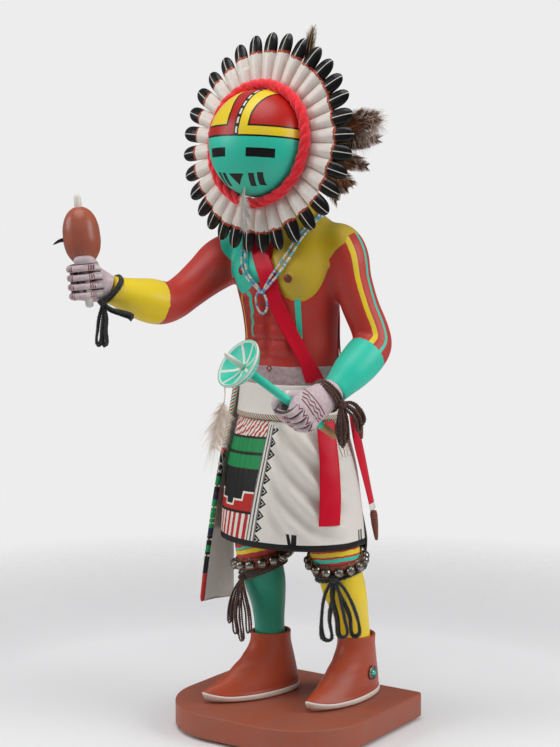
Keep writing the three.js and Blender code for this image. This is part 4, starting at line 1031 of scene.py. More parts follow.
def body_coats(made, paints):
    """Bare red body, a teal and a yellow breast, stripes down belly and arms, painted forearms."""
    degrees, height = made.turn("round")
    sine, cosine, place = made.coordinate("limb")
    turn = sine.math("ARCTAN2", cosine) * (180 / math.pi)
    arm, left = made.value("arm"), made.value("left")
    shaky = wobble(made)
    angle, height = degrees - MIDLINE + shaky * 0.8, height + shaky
    on_left, on_body = left.over(0, 0.1), arm.under(0.4, 0.3)
    squared = lambda value: value.math("POWER", 2)
    oval = lambda side, top: (squared((angle - side) / 31) + squared((height - top) / 22.5)).math("SQRT")
    left_edge = (36.2 + (height - 284) * 0.86).math("MINIMUM", 49.3) + shaky
    right_edge = -41.7 + (298.5 - height) * 0.8 + shaky
    on_shoulder = height.over(274) & arm.under(16)
    yellow_yoke = on_shoulder & left.under(left_edge) & angle.within(3, 172)
    teal_yoke = on_shoulder & left.over(right_edge) & angle.within(-172, -4)
    yellow_breast = (oval(35, 285).under(1, 0.02) & on_body) | yellow_yoke
    teal_breast = (oval(-38, 289).under(1, 0.02) & on_body) | teal_yoke
    leaning = angle + height * 0.13 - 68
    right_stripe = height.within(239, 264, 0.5) & on_body & leaning.within(-3.4, 3.4, 0.3)
    left_stripe = height.within(239, 268, 0.5) & on_body & (angle + height * 0.075 + 6).within(-3, 3, 0.3)
    thin = height.within(237, 268, 0.5) & (angle + 46.5).within(-1.8, 1.8, 0.3) & on_body
    nipple = lambda side, up: (squared((angle - side) * 0.66) + squared(height - up)).under(8, 2)
    upper = on_left & arm.over(3) & place.over(8)
    yellow_stripe = upper & (turn + shaky * 2 - place * 0.14).within(24.5, 39.5, 1)
    teal_stripe = upper & (turn + shaky * 2 - place * 0.18).within(-12, -2.5, 1)
    forearm = (place + shaky).over(85.5, 0.15) & arm.over(0.4, 0.3)
    return made.layers(
        paints.body_red,
        (yellow_stripe, paints.yellow),
        (teal_stripe, paints.teal),
        (teal_breast, paints.teal),
        (yellow_breast, paints.ochre),
        (right_stripe | left_stripe, paints.teal),
        (thin, paints.yellow),
        ((nipple(24, 277.5) | nipple(-29, 281.5)) & on_body, paints.brown),
        (forearm & on_left, paints.teal),
        (forearm & ~on_left, paints.yellow),
    )


def mask_coats(made, paints):
    """Red and yellow fields over a teal lower face, with black outlines, eyes, mouth and bars."""
    cheek, crown, out = made.coordinate("face")
    shaky = wobble(made, 3, 0.22)
    crown = crown + shaky * 0.6
    middle = cheek - 6 - crown.math("MINIMUM", 0) * 0.172 + shaky
    side = abs(middle)
    front = out.over(-2, 0.2)
    above = crown.over(0.1)
    right_side = middle.over(0)
    band_edge = 7.6 + (crown - 14).math("MAXIMUM", 0).math("POWER", 1.5) * 0.055
    band = (side - band_edge).under(0)
    low_band = crown.under(6.3)
    field = above & ~(band | low_band)
    beside = abs(side - band_edge).under(0.6) & crown.over(6)
    edge = beside | (abs(crown - 6.4).under(0.55) & (side - band_edge).over(-0.4))
    arc = (crown / 35).math("MINIMUM", 0.99).math("ARCSINE") * 35
    dash = (arc / 6.2).math("FRACT").within(0.2, 0.86, 0.06) & side.under(0.66) & crown.over(0.8)
    looking = abs(middle - 0.8)
    eye = looking.within(7.4, 22.4) & crown.within(-12.8, -7.3)
    mouth = (side + (-22.7 - crown) * 0.88).under(5.75) & crown.under(-22.7)
    lean = side - (crown + 22.6) * 0.18
    bars = lean.within(8.6, 12) & crown.within(-29.6, -22.2)
    bars = bars | (lean.within(13.7, 16.8) & crown.within(-28.8, -21.5))
    line = abs(crown).under(0.6)
    black = eye | mouth | bars | line | (above & (side.under(1.7) | edge))
    red, yellow = paints.red, paints.yellow
    return made.layers(
        paints.teal,
        (above, red),
        (above & ((field & ~right_side) | (~field & right_side)), yellow),
        (front & black, paints.black),
        (front & above & dash, paints.white),
    )


def kilt_coats(made, paints):
    """White cloth with a painted panel at the right hip, a border of hooks and a black hem."""
    degrees, height = made.turn("round")
    shaky = wobble(made, 2.2, 0.3)
    black, white, red, green = paints.black, paints.white, paints.red, paints.green
    panel_edge = (height - 107) * 0.205 - 4.6
    border_edge = (height - 108) * 0.187 + 3.0
    inside = panel_edge - degrees + shaky
    cross = (degrees - panel_edge + shaky * 0.6) / (border_edge - panel_edge)
    in_panel = inside.over(0) & degrees.over(-72, 0.5)
    up = height + inside * 0.035 + shaky
    fringe = in_panel & up.over(175.4)
    slant = inside * 0.9 + height * 0.8
    strokes = fringe & (slant / 4.4 + made.noise(2.5) * 0.8).math("FRACT").under(0.45, 0.1)
    green_band = in_panel & up.within(155.4, 175.4)
    dark_lines = in_panel & (up.within(174.6, 176.2) | up.within(164, 166) | up.within(126, 127.8))
    aside = abs(inside - 28)
    stairs = lambda low, aside: low + aside.over(5, 0.2) * 3.6 + aside.over(16, 0.2) * 5.4
    over_stairs, under_edge = up - stairs(131.6, aside), up - stairs(130.4, aside - 1.7)
    dark_field = in_panel & up.under(155.4) & over_stairs.over(0)
    outline = in_panel & up.under(153) & under_edge.over(0) & over_stairs.under(0)
    red_field = in_panel & up.within(127, 155.4) & under_edge.under(0)
    share = (inside / 7 + shaky * 0.1).math("FRACT")
    stripes = in_panel & up.within(107, 126.4) & share.within(0.24, 0.76, 0.05)
    in_border = cross.within(0, 1) & height.under(184)
    lines = in_border & (cross.under(0.14) | cross.within(0.42, 0.6) | cross.over(0.86))
    row = ((height + shaky * 0.5 - 107.4) / 7.8).math("FRACT")
    reach = (degrees - border_edge) / 5.6
    tooth = reach.over(0) & (reach + abs(row - 0.4) * 1.9).under(1.0, 0.05)
    hook = reach.within(0.16, 0.62, 0.05) & (reach + abs(row - 0.42) * 2.6).within(0.54, 0.7, 0.05)
    teeth = tooth & ~hook & height.within(107, 182)
    hem = height.under(109.4)
    strokes_low = (height - 107).within(0, 9) & (
        abs(degrees - 31 - (116 - height) * 0.25).under(1.3, 0.2)
        | abs(degrees - 36.4 + (116 - height) * 0.08).under(2.1, 0.2)
        | abs(degrees - 102.2).under(1.3, 0.2)
        | abs(degrees - 106.4).under(1.1, 0.2)
    )
    fall = (degrees + (made.noise(5, 1) - 0.5) * 6) / 5.2
    hang = degrees.within(86, 122, 1) & height.within(163, 186) & (fall.math("FRACT")).under(0.22, 0.05)
    hang = hang & (height + made.noise(3, 0) * 16).over(172)
    odd = (fall / 2).math("FRACT").over(0.5)
    return made.layers(
        white,
        (red_field | stripes | strokes, red),
        (green_band, green),
        (dark_field | dark_lines | lines | teeth | hem | strokes_low, black),
        (outline, white),
        (hang & odd, green),
        (hang & ~odd, red),
    )


def belt_coats(made, paints):
    """White belt with red and green dashes round its rolled lower edge."""
    degrees, height = made.turn("round")
    slant = (degrees + (height - 187) * 1.6) / 5.8
    edge = height.within(186.3, 190.4)
    dash = slant.math("FRACT").under(0.32, 0.05) & edge
    other = (slant + 0.5).math("FRACT").under(0.32, 0.05) & edge
    return made.layers(paints.white, (dash, paints.red), (other, paints.green))


def waistband_coats(made, paints):
    """Chalky white rubbed over red, with one small brown mark in front."""
    degrees, height = made.turn("round")
    stain = made.noise(2.6, 4).over(0.55, 0.3)
    ring = abs(degrees - 8.5) * 0.6 + abs(height - 219.6)
    mark = ring.within(1.2, 2.6)
    chalk = array(paints.chalk)
    rose = chalk * (0.5, 0.3, 0.3)
    return made.layers(chalk * (0.74, 0.68, 0.68), (stain * 0.7, rose), (mark, paints.brown))


def leg_coats(shin, stripes):
    """A shin in one colour below a thigh ringed with stripes."""

    def coats(made, paints):
        across, _, height = made.parts(made.place())
        height = height - SOLES + wobble(made, 4, 0.7)
        start, slope, bands = stripes
        height = height - (across - start) * slope
        made_of = [(height.over(86 if slope < 0.2 else 84, 0.2), paints.body_red)]
        for low, high, paint in bands:
            made_of.append((height.within(low, high, 0.2), getattr(paints, paint)))
        return made.layers(getattr(paints, shin), *made_of)

    return coats


# where along x, how steeply, and between which heights the stripes of each thigh run
RIGHT_STRIPES = (-27, 0.26, [(95.4, 98, "yellow"), (98.6, 100, "teal"), (103.5, 106, "yellow")])
LEFT_STRIPES = (34.5, 0.15, [(98.9, 101.9, "yellow"), (95.2, 97.6, "teal"), (104.5, 107, "yellow")])


def boot_coats(made, paints):
    """Rust leather paint over a white sole."""
    level = made.value("level")
    return made.layers(paints.rust, (level.under(4.4, 0.1), paints.white))


def hand_coats(side):
    """Chalky hands with dark red marks at the wrist, knuckles and finger ends, and painted shadow in the gaps
    between the fingers.
    """

    def coats(made, paints):
        back, up, inward = made.coordinate("hand")
        end = made.value("finger_end")
        within_finger = abs((up / FINGER_PITCH + 2).math("FRACT") - 0.5) * FINGER_PITCH
        outside, fingers = inward.under(0, 0.4), abs(up).under(2 * FINGER_PITCH)
        chevron = abs(back - 5.2 + within_finger * 1.25).under(0.6) & within_finger.under(2)
        square = abs(back - 13.5).math("MAXIMUM", within_finger).under(1.5)
        square = square & (abs(back - 13.5) / 1.1).math("FRACT").under(0.5)
        nail = end.within(-0.5, 1.3) & within_finger.under(1.0) & inward.over(3)
        marks = (chevron & outside | square) & fingers
        if side == "left":
            wave = (up * 1.15).math("SINE") * 0.5
            straight = abs(back + 1.6).under(0.42) | abs(back + 8.8).under(0.42)
            curved = abs(back + 4.0 + wave).under(0.42) | abs(back + 6.4 + wave).under(0.42)
            marks = marks | ((straight | curved) & abs(up).under(10) & outside)
        else:
            stroke = lambda low: ((end - low) / 1.3).math("FRACT").under(0.5, 0.1)
            strokes = lambda low: end.within(low, low + 3.6, 0.1) & stroke(low)
            marks = (strokes(2.2) | strokes(14.2)) & within_finger.under(1.6) & fingers
        # painted shadow: dark lines in the gaps between the fingers, where the carved grooves alone are too
        # shallow to shade
        between = within_finger.over(2.3, 0.25) & back.over(3.5, 0.5) & fingers & end.under(90)
        stain = made.noise(2.0, 4).over(0.56, 0.3)
        rose = array(paints.chalk) * (0.86, 0.58, 0.62)
        # the darkest coat here is painted shadow in the finger gaps
        coats = ((stain * 0.6, rose), (between, rose * 0.16), (marks, paints.maroon), (nail, paints.white))
        return made.layers(paints.chalk, *coats)

    return coats


def board_mesh():
    """The board under the feet, with worn edges."""
    low, high = (array(corner) * 1000 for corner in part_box("board"))
    width, depth, thick = (high - low) / 2
    centre = (low + high) / 2
    corners = [(1, 1, 3), (-1, 1, 3), (-1, -1, 48), (1, -1, 48)]
    outline, inward = [], []
    for sx, sy, radius in corners:
        start = math.degrees(math.atan2(sy, sx)) - 45
        for turn in radians(linspace(start, start + 90, 40 if radius > 10 else 10)):
            way = array([math.cos(turn), math.sin(turn)])
            hub = array([sx * (width - radius), sy * (depth - radius)])
            outline.append(hub + way * radius)
            inward.append(way)
    outline, inward = array(outline), array(inward)
    edge = 1.1
    bend = [(edge * (1 - math.sin(a)), edge * (1 - math.cos(a))) for a in linspace(0, math.pi / 2, 6)]
    flank = [(0.0, z) for z in linspace(-thick + edge, thick - edge, 8)[1:-1]]
    low_edge = [(inset, -thick + rise) for inset, rise in bend]
    high_edge = [(rise, thick - inset) for inset, rise in bend]
    profile = [(18.0, -thick), *low_edge, *flank, *high_edge, (18.0, thick), (40.0, thick)]
    rings = []
    for inset, z in profile:
        shrink = clip(1 - inset / min(width, depth), 0, 1)
        flat = outline - inward * inset if inset < 3 else outline * shrink
        rings.append(column_stack([flat + centre[:2], np.full(len(flat), centre[2] + z - SOLES)]))
    shell = Shell()
    shell.loft(rings)
    return shell.mesh("board")


# Ruff and yarn roll


FEATHER_TURNS = [
    # degrees from the top of each carved feather, which the knife spaced a little unevenly
    *(0.4, 11.7, 22.9, 34.3, 45.0, 55.6, 65.8, 76.3, 86.7, 97.0, 107.2),
    *(118.0, 129.3, 141.0, 153.2, 165.3, 176.6, 187.2, 197.6, 208.0, 218.3, 229.0),
    *(240.4, 252.4, 264.4, 276.3, 288.0, 300.0, 312.2, 324.4, 336.5, 348.5),
]


def ruff_mesh():
    """Carved feathers round the mask, each a domed blade with its own small errors of the knife."""
    shell = Shell()
    rng = np.random.default_rng(11)
    pitch = 2 * pi / RUFF_FEATHERS
    sides = circle(22)
    radius = concatenate([linspace(36.2, 62, 22), 62 + 8 * sin(linspace(0.12, pi / 2, 14))])
    front = interp(radius, [36, 44, 52, 60, 66, 69, 70], [1.4, 2.7, 3.3, 3.1, 2.3, 1.2, 0.5])
    back = interp(radius, [36, 50, 66, 70], [1.2, 1.2, 0.9, 0.3])
    for feather in range(RUFF_FEATHERS):
        turn = math.radians(FEATHER_TURNS[feather])
        reach = rng.uniform(-0.7, 0) - 1.7 * hump(FEATHER_TURNS[feather], 318, 22)
        after = FEATHER_TURNS[(feather + 1) % RUFF_FEATHERS]
        room = (after - FEATHER_TURNS[feather - 1]) % 360 / 2 / (360 / RUFF_FEATHERS)
        half = np.fmin(room * pitch * radius / 2 + 0.2, 5.2)
        half = half * np.sqrt(clip(1 - clip((radius - 61) / 9.1, 0, 1) ** 2.3, 0.003, 1))
        half = half * (1 + rng.uniform(-0.03, 0.03))
        across = half[:, None] * sin(sides)
        above = np.where(cos(sides) > 0, front[:, None], back[:, None]) * cos(sides)
        away = radius + reach * (radius > 50)
        lean = rng.uniform(-0.05, 0.05) * across
        sweep = 3 * (1 - (radius - 35.6) / 34.4)
        cheek = away[:, None] * math.sin(turn) + across * math.cos(turn)
        crown = away[:, None] * math.cos(turn) - across * math.sin(turn)
        out = sweep[:, None] + above + lean
        place = stack(np.broadcast_arrays(away[:, None], across, np.full((1, 1), float(feather))), -1)
        shell.loft(on_face(cheek, crown, out), blade=place)
    return shell.mesh("ruff")


def ruff_coats(made, paints):
    """White feathers with a faint red shaft, ragged rusty borders and glossy black tips."""
    radius, across, number = made.coordinate("blade")
    ragged = made.noise(1.5, 3)
    edge = 54.6 + (number * 1.7).math("SINE") * 0.7 + ragged * 3
    border = radius - edge
    shaft = abs(across + (number * 2.3).math("SINE") * 0.35).under(0.24, 0.14)
    dark = border.over(1.5, 0.3)
    faint = abs(across - 1.3).under(0.3, 0.4) & made.noise(4, 2).over(0.44, 0.2) * 0.45
    groove = abs(across).over(3.4, 2.2) & radius.under(52, 4) & made.noise(3).over(0.35, 0.3) * 0.35
    rose = array(paints.white) * (0.9, 0.55, 0.5)
    return made.layers(
        paints.white,
        (groove | faint, rose),
        (border.over(0, 0.25), paints.rust),
        (dark, paints.black),
        (shaft & dark, paints.white),
    )


def strands_of(path, half, count, pitch, start):
    """Centre lines of the plies that are twisted into one yarn."""
    _, first, second = frames(path, UP)
    at = along(path)
    turns_of = [2 * pi * (at / pitch + ply / count) + start for ply in range(count)]
    return [path + half * spun(turn, first, second) for turn in turns_of]


def fuzz(shell, path, half, count, length, rng, thick=0.07):
    """Loose fibres that stand off a yarn."""
    row = rng.integers(1, len(path) - 1, count)
    ahead = unit(path[row + 1] - path[row - 1])
    out = rng.normal(size=(count, 3))
    out = unit(out - ahead * np.einsum("ij,ij->i", out, ahead)[:, None])
    lean = unit(out + ahead * rng.normal(0, 1.1, (count, 1)))
    curl = unit(lean + rng.normal(0, 0.55, (count, 3)))
    reach = (length * rng.uniform(0.35, 1.0, count))[:, None]
    root = path[row] + out * (half * 0.75)
    paths = stack([root, root + lean * reach * 0.5, root + lean * reach * 0.6 + curl * reach * 0.45], 1)
    shell.rods(paths, array([thick, thick * 0.8, thick * 0.25]))


def yarn(shell, path, half, rng, pitch, hair, sides=7):
    """A yarn of two plies along a path, with hair fibres for each millimetre."""
    ply = half * 0.5
    for line in strands_of(path, half - ply, 2, pitch, rng.uniform(0, 6)):
        swell = ply * (1 + 0.08 * sin(along(line) * 1.7 + rng.uniform(0, 6)))
        shell.loft(rod_rings(line, swell, sides))
    fuzz(shell, path, half, int(along(path)[-1] * hair), half * 1.1, rng)


def wool(name, dye):
    """Spun wool in one dye."""
    made = material(name)
    return made.finish(made.use("wool", Dye=dye), 0.5, 0.3, Sheen_Weight=0.5, Sheen_Roughness=0.5)


def roll_mesh(hairs):
    """The thick red wool roll between mask and ruff: three soft plies and their fluff."""
    shell = Shell()
    rng = np.random.default_rng(5)
    turn = circle(260)
    cheek, crown = 38.75 * sin(turn), 38.75 * cos(turn)
    cheek, crown = np.where(cheek < 0, cheek * 0.965, cheek), np.where(crown > 0, crown * 0.92, crown)
    ring = on_face(cheek, crown, 8.3 + 0.3 * sin(turn * 5))
    out = unit(ring - on_face(0, 0, 8.3))
    for ply in range(3):
        phase = turn * 10 + ply * pi / 1.5 + 0.5 * sin(turn * 4)
        line = ring + 1.3 * (cos(phase)[:, None] * out + sin(phase)[:, None] * FACE)
        swell = 2.25 * (1 + 0.07 * sin(turn * 23 + ply * 2) + 0.05 * sin(turn * 61 + ply))
        sides = circle(12)
        shell.loft(line[:, None] + swell[:, None, None] * spun(sides, out[:, None], FACE), endless=True)
    closed = np.vstack([ring, ring[:2]])
    fuzz(shell, closed, 3.4, hairs, 1.9, rng, 0.06)
    fuzz(shell, closed, 3.2, hairs // 5, 4.5, rng, 0.045)
    return shell.mesh("roll")


# Feathers


def plume(shell, root, tip, bend, half, flat, rng, gap, lean, soft, thick, start=0.1, quill=0.7, tone=0.5):
    """A real feather: a tapering shaft with two rows of barbs that part here and there."""
    share = linspace(0, 1, 26)[:, None]
    middle = (root + tip) / 2 + bend
    shaft = (1 - share) ** 2 * root + 2 * share * (1 - share) * middle + share**2 * tip
    taper = interp(share[:, 0], [0, 1], [quill, 0.1])
    shell.loft(rod_rings(shaft, taper, 8, flat), 1, tint=share[:, 0], pale=0.0)
    at = along(shaft)
    ahead, across, face = frames(shaft, flat)
    count = int(at[-1] * (1 - start) / gap)
    for side in (-1, 1):
        where = start + (1 - start) * (np.arange(count) + rng.uniform(-0.3, 0.3, count)) / count
        row = clip(where, 0, 1) * 25
        pick = lambda rows: stack([interp(row, np.arange(26), rows[:, i]) for i in range(3)], 1)
        base, forward, outward, lift = pick(shaft), pick(ahead), pick(across) * side, pick(face)
        wide = half * interp(where, [0, 0.12, 0.3, 0.6, 0.85, 1], [0.45, 0.75, 1, 0.95, 0.7, 0.3])
        clump = interp(where, linspace(0, 1, 9), rng.normal(0, 0.16 + soft * 0.3, 9))
        slope = lean + clump + rng.normal(0, 0.035 + soft * 0.3, count)
        reach = (wide / cos(clip(slope, 0.1, 1.2)) * rng.uniform(0.9 - soft * 0.5, 1, count))[:, None]
        way = cos(slope)[:, None] * outward + sin(slope)[:, None] * forward
        rise = rng.normal(0.0, 0.05 + soft * 0.35, (count, 1))
        steps = []
        for step in (0.0, 0.34, 0.67, 1.0):
            curl = way + forward * (0.35 * step) + lift * (rise + 0.25 * step * rise - 0.12 * step)
            steps.append(base + unit(curl) * reach * step * 0.97 + outward * 0.2)
        paths = stack(steps, 1)
        width = thick * array([1.0, 1.1, 0.85, 0.25])
        tint = tone + rng.uniform(-0.25, 0.25, (count, 1)) + 0.15 * sin(where * 31)[:, None]
        pale = linspace(0, 1, 4)[None] * 0.5 + where[:, None] * 0.5
        shell.rods(paths, width, 3, 0, tint=tint, pale=pale)


PLUMES = [
    # cheek, crown and depth of the tip, half width, distance between barbs, tone
    (61, 19, -34, 12.5, 0.17, 0.55),
    (59, 6, -39, 10, 0.2, 0.3),
    (52, -11, -39, 9, 0.2, 0.75),
    (41, -25, -35, 9.5, 0.2, 0.6),
    (16, -37, -37, 8.5, 0.45, 0.5),
    (-16, -33, -39, 8.5, 0.45, 0.5),
    (-41, -10, -43, 9, 0.45, 0.5),
    (-39, 22, -39, 9, 0.45, 0.5),
    (4, 41, -37, 9, 0.45, 0.5),
]


def loose_down(shell, count):
    """Long pale wisps that stand loose along the outer half of the top back feather and curl down."""
    rng = np.random.default_rng(8)
    cheek = rng.uniform(38, 60, count)
    base = on_face(cheek, 5 + 0.23 * cheek, -34 + rng.normal(0, 0.6, count))
    turn = radians(rng.uniform(-88, 50, count))[:, None]
    reach = (rng.uniform(13, 23, count) * (1 - 0.45 * (cheek - 38) / 22))[:, None]
    lift = rng.normal(0, 0.16, (count, 1))
    way = CHEEK * cos(turn) + CROWN * sin(turn) + FACE * lift
    steps = [base + reach * (way * s - CROWN * 0.22 * s * s) for s in (0.0, 0.34, 0.67, 1.0)]
    tint = 0.5 + rng.uniform(-0.3, 0.3, (count, 1))
    shell.rods(stack(steps, 1), array([0.1, 0.1, 0.08, 0.03]), 3, 0, tint=tint, pale=1.2)


def back_plumes_mesh():
    """Brown feathers that fan out from a thread-wound knot behind the ruff."""
    shell = Shell()
    rng = np.random.default_rng(21)
    knot = on_face(0, 4, -33)
    for cheek, crown, out, half, gap, tone in PLUMES:
        for layer, (size, drop) in enumerate(((1.0, 0.0), (0.86, 2.2))):
            tip = on_face(cheek * size, crown * size - layer, out * size + (4 - 33) * (1 - size) + drop)
            flat = unit(np.cross(tip - HEAD_CENTRE, FACE))
            bend = FACE * (4 - 2 * layer) + flat * rng.normal(0, 1.5)
            thick, wide = 0.15 if gap < 0.3 else 0.26, half * (0.95 - 0.1 * layer)
            plume(shell, knot, tip, bend, wide, flat, rng, gap, 0.75, 0.1, thick, 0.3, 0.7, tone)
    rust = np.random.default_rng(4)
    for cheek, crown, out in ((46, -30, -22), (40, -34, -26), (50, -24, -28), (44, -22, -18), (36, -28, -30)):
        tip = on_face(cheek, crown, out)
        base = on_face(cheek * 0.62, crown * 0.45, out - 2)
        plume(shell, base, tip, FACE * 1.5, 6, CHEEK, rust, 0.2, 0.6, 0.3, 0.13, 0.05, 0.4, 0.9)
    loose_down(shell, 420)
    turn = linspace(0, 2 * pi * 6, 150)
    coil = on_face(4.5 * sin(turn), 4 + 4.5 * cos(turn), -33 + linspace(-3, 3, 150))
    shell.loft(rod_rings(coil, 0.55, 6), 1, tint=0.2, pale=0.0)
    ball = [(0.5, -3.5), (3.6, -2.6), (4.4, 0), (3.6, 2.6), (0.5, 3.5)]
    turn = circle(20)
    rings = [on_face(r * sin(turn), 4 + r * cos(turn), -33 + z + 0 * turn) for r, z in ball]
    shell.loft(rings, 1, tint=0.3, pale=0.0)
    return shell.mesh("back_plumes")


def crown_plume_mesh():
    """The narrow brown feather behind the top of the ruff."""
    shell = Shell()
    rng = np.random.default_rng(31)
    for away, half in ((0, 5.6), (0.8, 4.6)):
        root, tip = on_face(26.4, 42, -3.8 - away), on_face(29, 71 - 2 * away, -4.6 - away)
        plume(shell, root, tip, CHEEK * -1.2, half, CHEEK, rng, 0.16, 0.95, 0.12, 0.13)
    return shell.mesh("crown_plume")


def chin_plume_mesh():
    """A small downy feather stuck below the mouth."""
    shell = Shell()
    rng = np.random.default_rng(41)
    drop = 28.5 / 35
    root = on_face(4, -28.5, 6 + 30 * math.sqrt(1 - drop * drop) - 2.6)
    tip = on_face(-3, -56, 10.5)
    plume(shell, root, tip, FACE * 4, 5.2, CHEEK, rng, 0.22, 0.9, 0.4, 0.1, 0.24, 0.3)
    end = tip + CROWN * 5 + CHEEK * 4
    plume(shell, root, end, FACE * 5.5, 4.4, CHEEK, rng, 0.26, 0.8, 0.6, 0.08, 0.3, 0.2)
    plume(shell, root, tip + CROWN * 8 - CHEEK * 2, FACE * 5, 4.0, CHEEK, rng, 0.3, 0.8, 0.7, 0.07, 0.3, 0.2)
    return shell.mesh("chin_plume")


def staff_plume_mesh():
    """A downy feather on a thread that hangs from the rim of the cup."""
    shell = Shell()
    rng = np.random.default_rng(51)
    down = -unit(UP - STAFF_AXIS * (UP @ STAFF_AXIS))
    rim = CUP_SEAT + down * 15.5 + STAFF_AXIS * 1.4
    knot = rim - 10 * UP
    thread = smooth([rim, (rim + knot) / 2 + [0.6, 0, 0], knot], 14)
    shell.loft(rod_rings(thread, 0.4, 8, BODY_LEFT), 1, tint=0.5, pale=0.0)
    for layer in range(3):
        tip = knot + [-5 + layer * 1.2, -3 + layer, -28 + layer * 3.5]
        bend = array([-3 + layer * 1.5, 1.0, 0])
        plume(shell, knot, tip, bend, 12.5 - layer * 1.5, BODY_LEFT, rng, 0.26, 0.45, 0.6, 0.09, 0.04, 0.3)
    return shell.mesh("staff_plume")


def vane(name, base, tipped, quill, rib=(0, 0.05), contrast=0.15):
    """Materials of a feather: its vane, paler from one place of the rib to the other, and its shaft."""
    made, shaft = material(name), material(name + "_shaft")
    low, high = rib
    shade = made.layers(base, (made.value("pale").over((low + high) / 2, high - low), tipped))
    surface = made.use("feather", Tone=shade, Tint=made.value("tint"), Contrast=contrast)
    plain = shaft.use("feather", Tone=quill, Tint=shaft.value("tint"), Contrast=0.3)
    return [made.finish(surface, 0.2, 0.1), shaft.finish(plain, 0.2, 0.1)]


# Rattle and staff


def turned_rings(profile, origin, axis, sides=48, reference=UP):
    """Rings of a lathe form: profile rows are a place along the axis and a radius."""
    first = unit(np.cross(axis, reference))
    second = np.cross(axis, first)
    place, radius = asarray(profile, float).T[..., None, None]
    return origin + place * axis + radius * spun(circle(sides), first, second)


def round_values(profile, sides=48):
    """Sine, cosine and place for each point of a lathe form."""
    turn = circle(sides)
    radius = asarray(profile, float)[:, 1]
    return stack(np.broadcast_arrays(sin(turn)[None], cos(turn)[None], radius[:, None]), -1)


GOURD = [
    # share of the length and of the widest radius
    *((0, 0.08), (0.03, 0.34), (0.12, 0.68), (0.28, 0.93), (0.44, 1)),
    *((0.6, 0.985), (0.76, 0.88), (0.9, 0.64), (0.98, 0.3), (1, 0.06)),
]


def rattle_meshes():
    """Gourd with its handle through it, and the curved peg at its side."""
    share = eased(40)
    radius = spaced(GOURD, share)[:, 0] * 11.45
    start = RATTLE_LOW + RATTLE_AXIS * 26
    rings = turned_rings(column_stack([share * 37, radius]), start, RATTLE_AXIS, 56)
    middle = rings.mean(1, keepdims=True)
    turn = circle(56)
    lump = 1 + 0.012 * sin(turn * 3 + 1)[None] * sin(share * 9)[:, None] - 0.01 * cos(turn * 2)[None]
    gourd = Shell()
    gourd.loft(middle + (rings - middle) * lump[..., None])
    handle = Shell()
    profile = [(0, 0.4), (0.5, 2.0), (1.4, 2.5), (24, 2.45), (30, 2.5), (64, 2.4), (68.5, 2.1)]
    profile += [(70.4, 1.4), (71, 0.3)]
    handle.loft(turned_rings(profile, RATTLE_LOW, RATTLE_AXIS, 26))
    peg = Shell()
    way = unit(array([-0.85, -0.5, 0.1]))
    root = start + RATTLE_AXIS * (37 * 0.42) + way * 10.2
    path = smooth([root, root + way * 4.4 - UP * 1.6, root + way * 8.2 - UP * 4.2], 24)
    swell = interp(linspace(0, 1, 24), [0, 0.3, 0.8, 1], [1.35, 1.25, 0.7, 0.12])
    peg.loft(rod_rings(path, swell, 18))
    return gourd.mesh("gourd"), handle.mesh("rattle_handle"), peg.mesh("rattle_peg")


def staff_meshes():
    """The staff's rod, the painted cup on its end and the spike out of the cup."""
    rod = Shell()
    profile = [(0, 0.4), (0.3, 1.9), (1, 2.5), (12, 2.6), (ROD_LENGTH - 4.4, 2.55), (ROD_LENGTH - 4.2, 1.6)]
    rod.loft(turned_rings(profile, STAFF_LOW, STAFF_AXIS, 28), place=[row[0] for row in profile])
    radius = 16.5
    outer = [(-10, 0.02), (-10, 0.3), (-9.6, 0.4), (-6.2, 0.7), (-2.8, 0.92), (-0.7, 0.995)]
    outer += [(0, 1.0), (0.6, 0.99), (0.8, 0.955)]
    inner = [(0.55, 0.92), (0, 0.88), (-1.6, 0.7), (-3.4, 0.45), (-4.4, 0.22), (-4.7, 0.02)]
    rows = [(z, part * radius) for z, part in (*outer, *inner)]
    cup = Shell()
    side = [1.0] * len(outer) + [0.0] * len(inner)
    cup.loft(turned_rings(rows, CUP_SEAT, STAFF_AXIS, 72), cup=round_values(rows, 72), outside=side)
    spike = Shell()
    points = [(-4, 0.3), (-3.8, 1.9), (0.5, 2.0), (7, 1.75), (11, 1.0), (11.9, 0.3)]
    spike.loft(turned_rings(points, CUP_SEAT, STAFF_AXIS, 20))
    return rod.mesh("staff_rod"), cup.mesh("staff_cup"), spike.mesh("staff_spike")


def rod_coats(made, paints):
    """Teal rod whose lower end is bare wood."""
    end = made.value("place") + wobble(made, 3, 0.6)
    return made.layers(paints.teal, (end.under(14, 0.3), paints.wood))


def cup_coats(made, paints):
    """Teal cup: white rim and spokes inside, a white zigzag round the outside."""
    degrees, radius = made.turn("cup")
    outside = made.value("outside").over(0.5, 0.1)
    shaky = wobble(made, 3, 0.2)
    spoke = abs(((degrees + 400) / 45).math("FRACT") - 0.5) * radius * 0.785
    spokes = spoke.under(0.92, 0.2) & radius.over(2.5)
    rim = radius.over(14.6, 0.2)
    zigzag = abs(((degrees + 360) / 14).math("FRACT") - 0.5) * 5.2
    band = abs(radius + shaky + zigzag - 15.1).under(0.5, 0.15) | radius.over(16.2, 0.1)
    white = paints.white
    return made.layers(paints.teal, (~outside & (spokes | rim), white), (outside & band, white))


# Sash and ribbons

SASH_ROWS = [
    # height, x and y of the front edge, then x, y, z from there to the back edge
    (60.5, -55.6, -18.2, 0, 37, -3.5),
    (82, -53.2, -17.3, -3, 37, -2.5),
    (105, -50.5, -15.5, -6, 36, -1.5),
    (136, -46.5, -13, -8, 35, -1),
    (165, -42, -10.5, -7.5, 33, -0.5),
    (190, -37.6, -8, -6.5, 28, 0),
    (205, -35.4, -6, -6, 22, 0),
]


